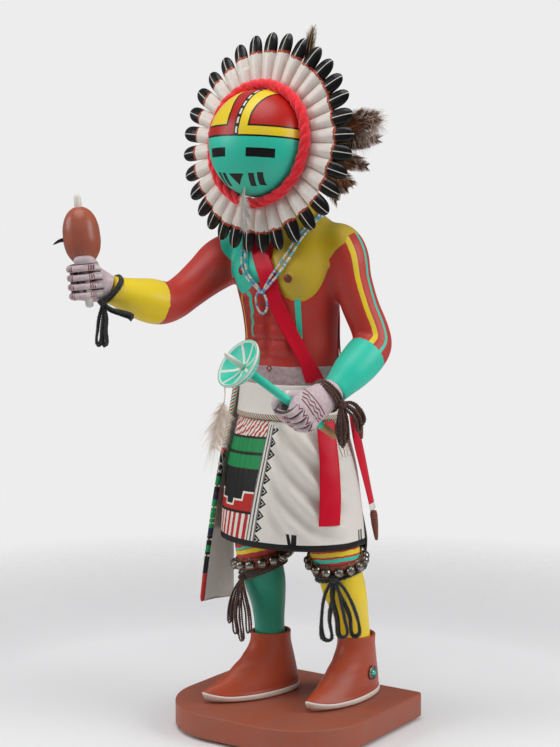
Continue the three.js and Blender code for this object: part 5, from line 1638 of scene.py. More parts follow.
def sash_mesh():
    """The carved sash at the right hip: rolled front edge, bowed face and a few soft folds."""
    shell = Shell()
    heights = 60.5 + 144.5 * eased(90)
    rows = spaced(SASH_ROWS, heights)
    share = concatenate([linspace(0.0, 0.12, 6), linspace(0.16, 0.96, 34), [0.985, 1.0]])
    front = column_stack([rows[:, 0], rows[:, 1], heights])
    across = rows[:, 2:5]
    outward = unit(column_stack([-across[:, 1], across[:, 0], 0 * heights]))
    thick = interp(share, [0, 0.02, 0.05, 0.12, 0.16, 0.9, 1], [0.2, 1.3, 1.9, 1.9, 1.45, 1.4, 0.3])
    thin = interp(heights, [60.5, 61.3, 63, 204, 205], [0.25, 0.8, 1, 1, 0.4])
    fold = 0.55 * sin(share[None] * 14 + heights[:, None] * 0.02) * sin(pi * share)[None]
    bow = 3.4 * sin(pi * share)[None] + fold
    faces = []
    for side, order in ((1, slice(None)), (-1, slice(None, None, -1))):
        lift = bow + side * thick[None] * thin[:, None]
        points = front[:, None] + across[:, None] * share[None, :, None] + outward[:, None] * lift[..., None]
        value = np.broadcast_arrays(share[None] * 37.5, heights[:, None], np.full((1, 1), float(side)))
        faces.append((points[:, order], stack(value, -1)[:, order]))
    rings = concatenate([f[0] for f in faces], 1)
    shell.loft(rings, sash=concatenate([f[1] for f in faces], 1))
    return shell.mesh("sash")


def sash_coats(made, paints):
    """Bands of red, green, black and blue down the rolled front edge; a pale inner face."""
    away, height, side = made.coordinate("sash")
    shaky = wobble(made, 3, 0.3)
    height = height + shaky + away * 0.06
    black, white, red, green, navy = paints.black, paints.white, paints.red, paints.green, paints.navy
    band = lambda low, high: height.within(low, high, 0.2)
    slant = ((height + away * side * 1.1) / 4.6).math("FRACT")
    dashes = height.over(165.5) & away.under(5.4)
    zig = abs((height / 5.2).math("FRACT") - 0.5) * 5.2
    zigzag = abs(zig * 0.7 - away + 0.15).under(0.3, 0.1)
    marks = abs((height / 3.6).math("FRACT") - 0.5).under(0.16, 0.05) & abs(away - 1.2).under(0.9)
    few = marks & (band(91, 94) | band(101, 104.5) | band(113, 117) | band(121, 126) | band(136, 139.4))
    painted_part = side.over(0, 0.2) | away.under(2.2, 0.2)
    coats = made.layers(
        white,
        (dashes & slant.under(0.26, 0.05), red),
        (dashes & slant.within(0.5, 0.76, 0.05), green),
        (band(160.7, 164.2), red),
        (band(144.6, 160.7), black),
        (zigzag & band(147, 157), white),
        (band(139.9, 144.6), green),
        (band(133.5, 139.9), black),
        (band(129.2, 133.5), navy),
        (band(110.4, 129.2), green),
        (band(105.1, 110.4), navy),
        (band(98.4, 105.1), black),
        (band(94.4, 98.4), green),
        (band(79.6, 94.4), black),
        (few, white),
        (height.under(79.6), red),
    )
    return made.mix(painted_part, array(white) * 0.93, coats)


SHOULDER_RIBBON = [
    # angle and height of one edge, then of the other
    (52, 211, 78, 211),
    (46, 221, 70, 218.5),
    (37, 231, 58, 228.5),
    (27.9, 241.3, 48.2, 238.5),
    (16.6, 254.5, 36.4, 251.8),
    (7.7, 267.6, 26.8, 265),
    (1, 281, 20.3, 281),
    (-9, 292, 10, 292),
    (-20, 300, 0, 302),
    (-34, 304.5, -15, 308.5),
    (-48, 306.5, -32, 313),
    (-64, 308, -52, 316.5),
    (-78, 309, -74, 318),
    (-90, 309.5, -90, 318.5),
    (-102, 309, -106, 318),
    (-116, 308, -128, 316.5),
    (-132, 306.5, -148, 313),
    (-146, 304.5, -165, 308.5),
    (-158, 300, -178, 302),
    (-166, 292, -188, 292),
    (-176, 281, -197, 281),
    (-188, 268, -208, 268),
    (-199, 255, -220, 255),
    (-210, 243, -232, 243),
    (-220, 232, -244, 232),
    (-228, 221, -253, 221),
    (-236, 211, -262, 211),
]
HIP_RIBBON = [
    (62, 186.4, 84, 186.4),
    (60.5, 172, 81, 172),
    (58.5, 155, 78, 155),
    (56.5, 136, 75.5, 136),
    (55.2, 122, 73.5, 122),
]
SIDE_RIBBON = [(40.9, 16, 190), (42.7, 19.5, 172), (46.2, 22.5, 152), (51.5, 24.5, 127.5)]
RIBBON_WIDTH, RIBBON_THICKNESS = 12.7, 0.35


def ribbon_strip(shell, low, high):
    """A thin closed band between its lower and upper faces; both are (rows, columns, 3)."""
    at = along(high.mean(1))
    rings = concatenate([high, low[:, ::-1]], 1)
    across = linspace(-RIBBON_WIDTH / 2, RIBBON_WIDTH / 2, high.shape[1])
    both = concatenate([across, across[::-1]])
    value = stack(np.broadcast_arrays(both[None], at[:, None], np.zeros((1, 1))), -1)
    shell.loft(rings, ribbon=value)
    return at[-1]


def laid_ribbon(name, levels, rows, count, lift):
    """A ribbon laid on the body, taut over its hollows; returns its mesh and its length."""
    rows = asarray(rows, float)
    at = np.arange(len(rows))
    fine = spaced(column_stack([at, rows]), linspace(0, at[-1], count), True)
    share = linspace(0, 1, 13)[None]
    degrees = fine[:, :1] + (fine[:, 2:3] - fine[:, :1]) * share
    height = fine[:, 1:2] + (fine[:, 3:4] - fine[:, 1:2]) * share
    ripple = 0.14 * sin(linspace(0, 26, count))[:, None] * sin(pi * share)
    out = lift(degrees, height)
    window = max(3, int(9 / np.abs(np.diff(height[:, 0])).mean()))
    for bridge, step in ((np.max, 2), (np.mean, 1)):
        padded = np.pad(out, ((window, window), (0, 0)), "edge")
        out = bridge([padded[i : i + count] for i in range(0, 2 * window + 1, step)], axis=0)
    faces = [on_oval(levels, radians(degrees), height, out + ripple + t) for t in (0, RIBBON_THICKNESS)]
    shell = Shell()
    length = ribbon_strip(shell, *faces)
    return shell.mesh(name), length


def side_ribbon_mesh():
    """The ribbon that hangs free at the left hip."""
    path = smooth(SIDE_RIBBON, 50)[:, :3]
    across = unit(array([-0.22, 0.975, 0.0]))
    out = np.cross(across, UP)
    share = linspace(-0.5, 0.5, 13)
    twist = 0.5 * sin(linspace(0, 5, 50))[:, None] * share[None] * 2 + 0.4 * cos(share * 5)[None]
    skin = path[:, None] + across * (share * RIBBON_WIDTH)[None, :, None] + out * twist[..., None]
    shell = Shell()
    length = ribbon_strip(shell, skin, skin + out * RIBBON_THICKNESS)
    return shell.mesh("side_ribbon"), length


def satin(name, dye, end=None, end_colour=(1, 1, 1)):
    """Red satin, with a painted end where one is given."""
    made = material(name)
    across, at, _ = made.coordinate("ribbon")
    coats = made.layers(dye, (at.over(end, 0.3), end_colour)) if end else dye
    surface = made.use("satin", Dye=coats, Across=across, Along=at)
    return made.finish(surface, 0.25, 0.05, Sheen_Weight=0.05, Anisotropic=0.5, Specular_IOR_Level=0.2)


# Small trim

DROPS = {"side_drop": (51.6, 24.5, 126.9, 54, 25, 107), "belt_drop": (45.2, 15.5, 194, 49, 14, 174)}


def drop_mesh(name):
    """A tapered drop closely wound with thread."""
    top, tip = array(DROPS[name][:3], float), array(DROPS[name][3:], float)
    axis, length = unit(tip - top), np.linalg.norm(tip - top)
    share = linspace(0, 1, 90)
    half = interp(share, [0, 0.15, 0.5, 0.85, 1], [0.75, 0.97, 0.86, 0.55, 0.3]) * 2.5
    thread = 0.3 * np.abs(sin(share * length * pi / 1.45)) ** 0.6
    half = (half - 0.2 + thread) * np.sqrt(clip(np.minimum(share, 1 - share) * 30, 0.01, 1))
    shell = Shell()
    shell.loft(turned_rings(column_stack([share * length, half]), top, axis, 24), place=share * length)
    return shell.mesh(name)


def cord_coats(made, paints):
    """Brown thread with painted shade in the grooves between its rounds."""
    place = made.value("place")
    # painted shade: the grooves between the rounds of thread are painted dark
    ring = abs((place / 1.45).math("FRACT") - 0.5).over(0.36, 0.08)
    return made.layers(paints.cord, (ring, array(paints.cord) * 0.25))


BEHIND = [(62, 314), (95, 318), (135, 320), (180, 320)]
NECKLACE = [
    # angle and height on the torso of each strand, from the breastbone to the nape
    [(15.7, 277.4), (22.6, 284.8), (26.2, 290.6), (31.7, 300), (40, 307.9), *BEHIND],
    [
        *((-1, 274.5), (-8, 279.3), (-12, 285), (-15, 291), (-20, 300), (-34, 307.9)),
        *((-angle, height) for angle, height in BEHIND),
    ],
]


def necklace_mesh():
    """Threaded seed beads: two strands each side that meet at the breastbone, and a loop."""
    lines = []
    for side in NECKLACE:
        for shift in (0, 5 * np.sign(side[-1][0])):
            points = [(angle + shift, height) for angle, height in side[:6]]
            points += [(angle, height - abs(shift) * 0.25) for angle, height in side[6:]]
            lines.append(np.transpose([(6.4, 267.5), *points]))
    turn = linspace(0, 2 * pi, 13)
    lines.append((4.5 + 6.5 * sin(turn), 261.5 + 7 * cos(turn)))
    shell = Shell()
    rng = np.random.default_rng(61)
    profile = array([(-0.62, 0.35), (-0.54, 0.66), (-0.27, 0.86), (0.27, 0.86), (0.54, 0.66), (0.62, 0.35)])
    for degrees, height in lines:
        path = smooth(on_oval(TORSO, radians(degrees), height, 3.0), 300)
        shell.loft(rod_rings(path[::3], 0.25, 5), 0, bead=0.5)
        at = along(path)
        count = int(at[-1] / 1.28)
        for bead in range(count):
            place = (bead + 0.5) * at[-1] / count
            row = min(int(np.searchsorted(at, place)), 298)
            axis = unit(path[row + 1] - path[row] + rng.normal(0, 0.03, 3))
            size = rng.uniform(0.92, 1.04)
            tone = float((bead // 3) % 2) if rng.random() < 0.8 else rng.random()
            shell.loft(turned_rings(profile * size, path[row], axis, 10, BODY_LEFT), 0, bead=tone)
    return shell.mesh("necklace")


def glass_coats(made, paints):
    """Blue and white beads, with a few between the two."""
    tone = made.value("bead")
    return made.mix(tone.over(0.45, 0.1), paints.bead, paints.white)


WRIST_WAY = {
    side: unit(np.subtract(ARMS[side][10][:3], ARMS[side][row][:3]))
    for side, row in (("right", 8), ("left", 9))
}
TIES = {
    # centre, axis, radius, rounds, thickness, opening of the loops, side of the knot, loops
    "right_wrist_yarn": (
        *(np.add((-73.6, -82.8, 269.4), 3.6 * WRIST_WAY["right"]), WRIST_WAY["right"] + [0, 0, 0.55]),
        *(9.2, 2, 1.05, 0.9, (0.35, -0.3, -1)),
        [
            [(-1, -1.5, -9), (-2, -2, -18), (-2.5, -2, -25)],
            [(1.5, -1, -9), (1, -0.5, -18), (0.8, 0, -26)],
            [(4.5, 1.5, -4), (10, 4.5, -6), (15.5, 8, -9)],
        ],
    ),
    "left_wrist_yarn": (
        *(np.add((49, -19.7, 210.2), 7.2 * WRIST_WAY["left"]), WRIST_WAY["left"] + [0, 0, 0.1]),
        *(8.9, 3, 1.15, 1.2, (1, -0.2, -0.5)),
        [
            [(-1.5, 0, -8), (-3, 0.5, -16), (-1.5, 1, -24)],
            [(0.5, -1, -8), (0.5, -0.5, -17), (0.5, 0.5, -25)],
            [(2, 0.5, -8), (3, 1, -16), (2.5, 2, -23)],
            [(3.5, 3, -4), (7, 6, -9), (8.0, 8, -16)],
            [(3.5, 4, -1), (7.5, 8, -5), (9, 10, -12)],
        ],
    ),
    "right_knee_yarn": (
        *((-15.2, -4, 86.5), (-0.32, -0.18, 1), 14.8, 3, 0.85, 1.1, (-0.4, -1, 0)),
        [
            [(-4, -3.5, -9), (-6.5, -4.5, -19), (-6.5, -4, -29)],
            [(-1.5, -3.5, -10), (-3, -4, -24), (-2.5, -3, -36)],
            [(0.5, -3, -10), (0.5, -3.5, -26), (0.8, -2.5, -41)],
            [(3.5, -2.5, -10), (6, -2.5, -22), (6.5, -1.5, -35)],
        ],
    ),
    "left_knee_yarn": (
        *((35.2, 11, 88), (-0.2, -0.2, 1), 15.2, 2, 1.4, 2.7, (0.3, -0.95, 0)),
        [
            [(-2.5, -2.5, -10), (-5, -3, -26), (-4, -2, -40)],
            [(2.5, -2, -10), (5.5, -1, -25), (6.5, 0.5, -37)],
            [(6, 0, -8), (12, 3.5, -22), (13, 5.5, -35)],
        ],
    ),
}


def tie_mesh(name, hair):
    """Yarn wound round a limb, knotted, with loops that hang from the knot."""
    centre, axis, radius, rounds, thick, opening, towards, loops = TIES[name]
    centre, axis, towards = array(centre, float), unit(axis), array(towards, float)
    rng = np.random.default_rng(len(name) * 7 + rounds)
    out = unit(towards - axis * (towards @ axis))
    side = np.cross(axis, out)
    shell = Shell()
    for turn_of in range(rounds):
        turn = linspace(0, 2 * pi, 90)
        lift = (turn_of - (rounds - 1) / 2) * 1.9 * thick
        reach = radius + 1.15 + 0.12 * sin(turn * 5 + turn_of)
        ring = centre + axis * (lift + 0.35 * sin(turn + turn_of))[:, None]
        yarn(shell, ring + reach[:, None] * spun(turn, out, side), 1.1 * thick, rng, 3.4, hair)
    knot = centre + out * (radius + 2.9)
    turn = linspace(0, 2 * pi, 50)
    for tilt in (0.5, -0.6, 1.6):
        way = math.cos(tilt) * axis + math.sin(tilt) * side
        yarn(shell, knot + 1.75 * spun(turn, out, way) + 0.5 * out * math.cos(tilt), thick, rng, 3.4, hair)
    for loop in loops:
        steps = array([knot, *(knot + array(step, float) for step in loop)])
        spread = unit(np.cross(steps[-1] - steps[0], out))
        for twin in range(2):
            shift = rng.normal(0, 0.35, (len(steps), 3))
            shift[0] *= 0.2
            down = steps + shift + (twin - 0.5) * 1.5 * out * linspace(0.1, 1, len(steps))[:, None]
            apart = spread * (opening + rng.uniform(0, 0.6) + twin * 0.5)
            bottom = down[-1] - UP * rng.uniform(0, 1.2)
            there = [knot + apart * 0.2, *(down[1:-1] + apart * 0.75), bottom + apart * 0.9 + UP * 1.5]
            back = [bottom - apart * 0.9 + UP * 1.5, *(down[-2:0:-1] - apart * 0.75), knot - apart * 0.2]
            yarn(shell, smooth([*there, bottom - UP * 0.4, *back], 100), 0.9 * thick, rng, 3.2, hair, 6)
    return shell.mesh(name)


KNEES = {
    "right": ((-16.2, -4.6, 94.2), 15.5, (-0.2, -0.1, 1)),
    "left": ((33.8, 8.4, 96.6), 15.6, (0.08, -0.28, 1)),
}
BELLS = 15


def bells_mesh(side):
    """Round slotted bells threaded on a strap above the knee."""
    centre, radius, tilt = KNEES[side]
    centre, axis = array(centre, float), unit(tilt)
    first = unit(BODY_LEFT - axis * (BODY_LEFT @ axis))
    second = np.cross(axis, first)
    shell = Shell()
    turn = circle(120)
    around = spun(turn, first, second)
    section = [(0.1, 1.7), (0.9, 1.75), (1.3, 1.2), (1.3, -1.2), (0.9, -1.75), (0.1, -1.7)]
    strap = stack([centre + around * (radius + a) + axis * b for a, b in section], 1)
    shell.loft(strap, 1, endless=True)
    rng = np.random.default_rng(71)
    half = 3.35
    for bell in range(BELLS):
        angle = bell / BELLS * 2 * pi + rng.normal(0, 0.02)
        out = math.cos(angle) * first + math.sin(angle) * second
        hub = centre + out * (radius + 2.7) - axis * (1.6 + rng.normal(0, 0.35))
        pole = unit(-axis + out * (0.55 + rng.normal(0, 0.12)))
        across = unit(np.cross(pole, out) + rng.normal(0, 0.12, 3))
        up = np.cross(pole, across)
        rows, sides = 20, 28
        polar = linspace(0.03, pi - 0.03, rows)[:, None]
        turn = circle(sides)[None]
        seam = 0.12 * hump(polar, pi / 2 + 0.12, 0.07)
        slot = 0.9 * np.exp(-((sin(polar) * sin(turn) / 0.13) ** 2)) * (polar < 1.15)
        hole = 0.5 * np.exp(-(((polar - 1.2) / 0.16) ** 2)) * np.exp(-((sin(turn) / 0.28) ** 2))
        reach = half * (1 + seam / half) - slot - hole
        ball = hub + (reach * cos(polar))[..., None] * pole
        for part, way in ((cos(turn), across), (sin(turn), up)):
            ball = ball + (reach * sin(polar) * part)[..., None] * way
        # painted shade: the slots and hole are shallow grooves, painted nearly black where an open bell is
        # dark inside
        dark = np.broadcast_to(clip(slot + hole * 1.5, 0, 1), (rows, sides))
        shell.loft(ball, 0, dark=dark)
        eye = hub - pole * (half + 0.35)
        ring = eye + 0.75 * spun(circle(16), pole, across)
        tube = ring[:, None] + 0.28 * spun(circle(6), unit(ring - eye)[:, None], up)
        shell.loft(tube, 0, endless=True, dark=0.0)
    return shell.mesh(side + "_bells")


def bell_materials(paints):
    """Tarnished plate for the bells, painted nearly black in their slots as painted shade, and dark leather
    for their strap.
    """
    bell, strap = material("bell_plate"), material("strap_leather")
    # the slots and hole are painted nearly black as painted shade
    plate = bell.layers(paints.nickel, (bell.value("dark"), array(paints.nickel) * 0.05))
    metal = bell.use("worn_metal", Metal=plate, Wear=0.75)
    leather = strap.use("hand_paint", Paint=paints.cord, Gloss=0.6, Unevenness=0.3, Rubbed=0.5)
    return [bell.finish(metal, 0.3, 0.1, Metallic=1.0), strap.finish(leather, 0.5, 0.2)]


def concho_mesh():
    """A scalloped silver button with a blue stone, on the outside of the left boot."""
    x, y, yaw = BOOTS["left"]
    ahead = facing(yaw)
    out = np.cross(UP, ahead)
    start = array([x, y, 17.0]) - ahead + out * 9
    button = [(0, 4.4), (4.2, 4.6), (4.6, 4.65), (4.9, 4.2), (4.75, 3.5), (5.0, 3.2), (5.15, 2.7)]
    button += [(4.95, 2.3), (5.0, 2.1)]
    stone = [(5.0, 2.0), (5.3, 1.8), (5.42, 1.2), (5.45, 0.05)]
    profile = array([*button, *stone])
    rings = turned_rings(profile, start, out, 96)
    hub = start + profile[:, :1, None] * out
    depth = np.zeros((len(profile), 1))
    depth[:5, 0] = 0.045, 0.045, 0.045, 0.06, 0.03
    scallop = depth * (np.abs(cos(circle(96) * 6)) - 1)
    shell = Shell()
    shell.loft(hub + (rings - hub) * (1 + scallop)[..., None], button=round_values(profile, 96))
    return shell.mesh("concho")


def concho_coats(made, paints):
    """Silver with blackened rays round a blue stone."""
    degrees, radius = made.turn("button")
    rays = ((degrees + 360) / 30).math("FRACT").within(0.36, 0.64, 0.1) & radius.within(2.5, 4.0, 0.2)
    silver = made.layers(paints.nickel, (rays | radius.within(2.0, 2.35), paints.black))
    return made.layers(silver, (radius.under(2.05, 0.05), paints.teal))


# Stage


def build_stage(look):
    """A pale floor that fades into the studio's air, the lights and the camera."""
    shell = Shell()
    turn = circle(96)
    rings = [
        column_stack([r * cos(turn), r * sin(turn), np.full(96, z - SOLES)])
        for r, z in ((0.5, -2.0), (1500, -2.0), (2600, -2.0), (2600, -4.0), (0.5, -4.0))
    ]
    shell.loft(rings)
    mesh = shell.mesh("floor")
    made = material("studio_floor")
    x, y, _ = made.parts(made.place())
    reach = (x * x + y * y).math("SQRT")
    made.put(look.floor, made.shader.inputs["Base Color"])
    made.put(~reach.over(450, 400), made.shader.inputs["Alpha"])
    made.put(0.62 + made.noise(60) * 0.08, made.shader.inputs["Roughness"])
    mesh.materials.append(made.material)
    added("floor", mesh)
    world = bpy.data.worlds.new("studio")
    world.use_nodes = True
    sky = Painter(world.node_tree)
    air = world.node_tree.nodes["Background"].inputs
    seen = sky.node("ShaderNodeLightPath").outputs["Is Camera Ray"]
    sky.put(sky.mix(seen, look.air, look.backdrop), air["Color"])
    bpy.context.scene.world = world
    middle = Vector((0, -0.02, 0.2))
    for name, place, size, power in (
        ("left_box", (-1.05, -0.95, 0.75), 0.9, look.left_box),
        ("right_box", (1.15, 0.25, 0.75), 0.9, look.right_box),
        ("top_box", (0.0, -0.35, 1.6), 1.2, look.top_box),
    ):
        lamp = bpy.data.lights.new(name, "AREA")
        lamp.shape, lamp.size, lamp.energy = "DISK", size, power
        thing = added(name, lamp)
        thing.location = place
        thing.rotation_euler = (middle - thing.location).to_track_quat("-Z", "Y").to_euler()
    lens = bpy.data.cameras.new("camera")
    lens.lens, lens.sensor_width, lens.clip_start = look.lens, 36, 0.05
    camera = added("camera", lens)
    camera.location = (0.598, -0.890, 0.342)
    camera.rotation_euler = (math.radians(90 - 5.93), 0, math.radians(34.1))
    bpy.context.scene.camera = camera
    bpy.context.scene.view_settings.view_transform = "Standard"


# Add-on


def colour(name, words, code):
    shade = linear(code)
    return FloatVectorProperty(name=name, description=words, default=shade, subtype="COLOR", min=0, max=1)


def measure(name, words, value, low=0.0, **settings):
    return FloatProperty(name=name, description=words, default=value, min=low, **settings)


class DollPaints(bpy.types.PropertyGroup):
    """Colours that the doll is painted with"""

    red: colour("Red", "Fields of the mask, kilt and sash", "b82018")
    body_red: colour("Body red", "Body, upper arms and thighs", "bf3c34")
    teal: colour("Teal", "Lower face, breast, arm and belly stripes", "38cfb2")
    deep_teal: colour("Deep teal", "The right shin", "1f8a70")
    yellow: colour("Yellow", "Forearm, shin and bands of the mask", "f0d22e")
    ochre: colour("Ochre", "The yellow breast and shoulder", "d0b032")
    brown: colour("Brown", "Nipples and small marks", "7a3428")
    maroon: colour("Maroon", "Marks on the hands", "6e2026")
    black: colour("Black", "Outlines, eyes, borders and hems", "0b0908")
    white: colour("White", "Kilt, belt, feathers and soles", "e6e1d8")
    chalk: colour("Chalk", "Hands and waistband", "cfc0c4")
    green: colour("Green", "Bands of the kilt and the sash", "048a48")
    rust: colour("Rust", "The boots", "ac4a30")
    terracotta: colour("Terracotta", "The board", "9c5540")
    navy: colour("Navy", "Bands of the sash", "16233f")
    gourd: colour("Gourd", "The rattle", "a85a44")
    horn: colour("Horn", "The peg of the rattle", "1c130f")
    wood: colour("Bare wood", "Lower end of the staff", "b98b5e")
    bead: colour("Bead blue", "Beads of the necklace", "5db4dc")
    nickel: colour("Nickel", "Bells and button", "938e86")
    wool: colour("Red wool", "The roll round the mask", "f8142a")
    satin: colour("Red satin", "The ribbons", "d40c2c")
    black_yarn: colour("Black yarn", "Ties of the left knee and the right wrist", "0a0a0c")
    brown_yarn: colour("Brown yarn", "Ties of the right knee and the left wrist", "4a2208")
    cord: colour("Brown thread", "Drops and straps", "8a4a3a")
    feather: colour("Brown feather", "Feathers behind the ruff", "74492c")
    down: colour("Down", "Downy feathers", "ece8e0")


class DollCarving(bpy.types.PropertyGroup):
    """How finely the doll is carved"""

    body_voxel: measure("Body voxel", "Grid that torso and arms are joined on, in mm", 1.15, 0.6)
    roll_hairs: IntProperty(name="Hairs of the roll", description="Loose fibres on it", default=7000, min=0)
    yarn_hair: measure("Hairs of the ties", "Loose fibres for each mm of yarn", 2.2)
    hand_voxel: measure("Hand voxel", "Grid that a hand is joined on, in mm", 0.55, 0.3)


class DollStage(bpy.types.PropertyGroup):
    """Floor, light and camera"""

    floor: colour("Floor", "The pale floor", "f2f2f3")
    air: colour("Air", "The even light all round", "7c7c7e")
    backdrop: colour("Backdrop", "What is seen behind the floor", "ededed")
    left_box: measure("Left box", "Power of the soft light on the left", 8.0, unit="POWER")
    right_box: measure("Right box", "Power of the soft light on the right", 9.0, unit="POWER")
    top_box: measure("Top box", "Power of the soft light overhead", 13.0, unit="POWER")
    lens: measure("Lens", "Focal length in mm", 80.43, 20, subtype="DISTANCE_CAMERA")


class DOLL_OT_board(bpy.types.Operator):
    """Cut and paint the board"""

    bl_idname = "doll.board"
    bl_label = "Board"

    def execute(self, context):
        skin = painted("board_paint", "terracotta", 0.5, 0.3, 0.2, 0.35)
        piece("board_carved", board_mesh(), [skin], "base_paint", ["board"])
        return {"FINISHED"}


class DOLL_OT_body(bpy.types.Operator):
    """Carve and paint torso, neck and arms"""

    bl_idname = "doll.body"
    bl_label = "Body"

    def execute(self, context):
        skin = painted("body_paint", body_coats)
        mesh = body_mesh(context.scene.doll_carving.body_voxel)
        piece("body", mesh, [skin], "painted_wood", ["carved_figure"])
        return {"FINISHED"}


class DOLL_OT_mask(bpy.types.Operator):
    """Carve and paint the head and its mask"""

    bl_idname = "doll.mask"
    bl_label = "Mask"

    def execute(self, context):
        skin = painted("mask_paint", mask_coats, 0.36, 0.4, 0.12)
        piece("mask", mask_mesh(), [skin], "painted_wood", ["carved_figure"])
        return {"FINISHED"}


class DOLL_OT_dress(bpy.types.Operator):
    """Carve and paint kilt, belt and waistband"""

    bl_idname = "doll.dress"
    bl_label = "Kilt and belt"

    def execute(self, context):
        skins = [
            painted("kilt_paint", kilt_coats, 0.5, 0.25, 0.06),
            painted("belt_paint", belt_coats, 0.5, 0.25, 0.06),
            painted("corner_paint", "black", 0.4),
            painted("waistband_paint", waistband_coats, 0.6, 0.5, 0.2),
        ]
        piece("dress", dress_mesh(), skins, "painted_wood", ["carved_figure"])
        return {"FINISHED"}


class DOLL_OT_legs(bpy.types.Operator):
    """Carve and paint legs and boots"""

    bl_idname = "doll.legs"
    bl_label = "Legs and boots"

    def execute(self, context):
        skins = [
            painted("right_leg_paint", leg_coats("deep_teal", RIGHT_STRIPES)),
            painted("left_leg_paint", leg_coats("yellow", LEFT_STRIPES)),
            painted("boot_paint", boot_coats, 0.42, 0.4, 0.18),
        ]
        piece("legs", legs_mesh(), skins, "painted_wood", ["carved_figure"])
        return {"FINISHED"}


class DOLL_OT_hands(bpy.types.Operator):
    """Carve and paint the hands round the rattle and the staff"""

    bl_idname = "doll.hands"
    bl_label = "Hands"

    def execute(self, context):
        carving = context.scene.doll_carving
        for side in ("right", "left"):
            skin = painted(f"{side}_hand_paint", hand_coats(side), 0.55, 0.5, 0.16)
            mesh = hand_mesh(side, carving.hand_voxel)
            piece(f"{side}_hand", mesh, [skin], "painted_wood", ["carved_figure"])
        return {"FINISHED"}


class DOLL_OT_ruff(bpy.types.Operator):
    """Carve and paint the ruff"""

    bl_idname = "doll.ruff"
    bl_label = "Ruff"

    def execute(self, context):
        skin = painted("ruff_paint", ruff_coats, 0.3, 0.3, 0.08, 0.1)
        piece("ruff", ruff_mesh(), [skin], "ruff_paint", ["feather_ruff"])
        return {"FINISHED"}


class DOLL_OT_roll(bpy.types.Operator):
    """Twist the red wool roll"""

    bl_idname = "doll.roll"
    bl_label = "Wool roll"

    def execute(self, context):
        skin = wool("red_wool", context.scene.doll_paints.wool)
        piece("roll", roll_mesh(context.scene.doll_carving.roll_hairs), [skin], "red_yarn", ["yarn_roll"])
        return {"FINISHED"}


class DOLL_OT_feathers(bpy.types.Operator):
    """Dress the feathers behind the ruff, below the mouth and under the cup"""

    bl_idname = "doll.feathers"
    bl_label = "Feathers"

    def execute(self, context):
        paints = context.scene.doll_paints
        brown, down, quill = paints.feather, paints.down, paints.wood
        fringe = 0.5 * array(down) + 1.3 * array(brown)
        back = vane("brown_feather", brown, fringe, quill, (0.75, 1.1), 0.8)
        piece("brown_plumes", back_plumes_mesh(), back, "brown_feather", ["back_plumes"])
        crown = vane("crown_feather", brown, down, quill, (0.5, 0.78), 0.7)
        piece("top_plume", crown_plume_mesh(), crown, "brown_feather", ["crown_plume"])
        white = vane("down_feather", down, down, down)
        piece("face_plume", chin_plume_mesh(), white, "down_feather", ["chin_plume"])
        beige = array(down) * (1.04, 0.93, 0.85)
        warm = vane("beige_feather", beige, beige, beige)
        piece("cup_plume", staff_plume_mesh(), warm, "down_feather", ["staff_plume"])
        return {"FINISHED"}


class DOLL_OT_rattle(bpy.types.Operator):
    """Turn and paint the rattle"""

    bl_idname = "doll.rattle"
    bl_label = "Rattle"

    def execute(self, context):
        gourd, handle, peg = rattle_meshes()
        clay = painted("gourd_paint", "gourd", 0.3, 0.35, 0.25, 0.3)
        piece("gourd", gourd, [clay], "gourd_paint", ["rattle_gourd"])
        white = painted("handle_paint", "white", 0.4)
        piece("rattle_stick", handle, [white], "white_wood", ["rattle_handle"])
        piece("beak", peg, [painted("horn", "horn", 0.25)], "dark_horn", ["rattle_peg"])
        return {"FINISHED"}


class DOLL_OT_staff(bpy.types.Operator):
    """Turn and paint the staff with its cup and its spike"""

    bl_idname = "doll.staff"
    bl_label = "Staff"

    def execute(self, context):
        rod, cup, spike = staff_meshes()
        piece("staff", rod, [painted("staff_paint", rod_coats, 0.4)], "turquoise_paint", ["staff_rod"])
        piece("cup", cup, [painted("cup_paint", cup_coats, 0.4)], "turquoise_paint", ["staff_cup"])
        piece("spike", spike, [painted("spike_paint", "white", 0.4)], "white_wood", ["staff_spike"])
        return {"FINISHED"}


class DOLL_OT_sash(bpy.types.Operator):
    """Carve and paint the sash at the hip"""

    bl_idname = "doll.sash"
    bl_label = "Sash"

    def execute(self, context):
        skin = painted("sash_paint", sash_coats, 0.4, 0.3, 0.1)
        piece("sash", sash_mesh(), [skin], "sash_paint", ["hip_sash"])
        return {"FINISHED"}


class DOLL_OT_ribbons(bpy.types.Operator):
    """Lay and hang the satin ribbons"""

    bl_idname = "doll.ribbons"
    bl_label = "Ribbons"

    def execute(self, context):
        paints = context.scene.doll_paints
        dye = paints.satin
        plain, ended = satin("red_satin", dye), satin("red_satin_end", dye, 60, paints.white)
        round_front = lambda angle: (angle - MIDLINE + 180) % 360 - 180
        over = lambda angle, height: 1.0 + clip(torso_relief(round_front(angle), height), 0, 9)
        hip = lambda angle, height: 0.9 + clip(kilt_swell(angle, height), 0, 9)
        across = laid_ribbon("shoulder_ribbon", TORSO, SHOULDER_RIBBON, 160, over)
        down = laid_ribbon("hip_ribbon", KILT, HIP_RIBBON, 70, hip)
        for name, node, (mesh, length), skin, held, rests in (
            ("chest_ribbon", "shoulder_ribbon", across, plain, "laid", "body"),
            ("kilt_ribbon", "hip_ribbon", down, plain, "laid", "dress"),
            ("hanging_ribbon", "side_ribbon", side_ribbon_mesh(), ended, "hung", "dress"),
        ):
            thing = piece(name, mesh, [skin], "red_satin", [node])
            length / 1000
        return {"FINISHED"}


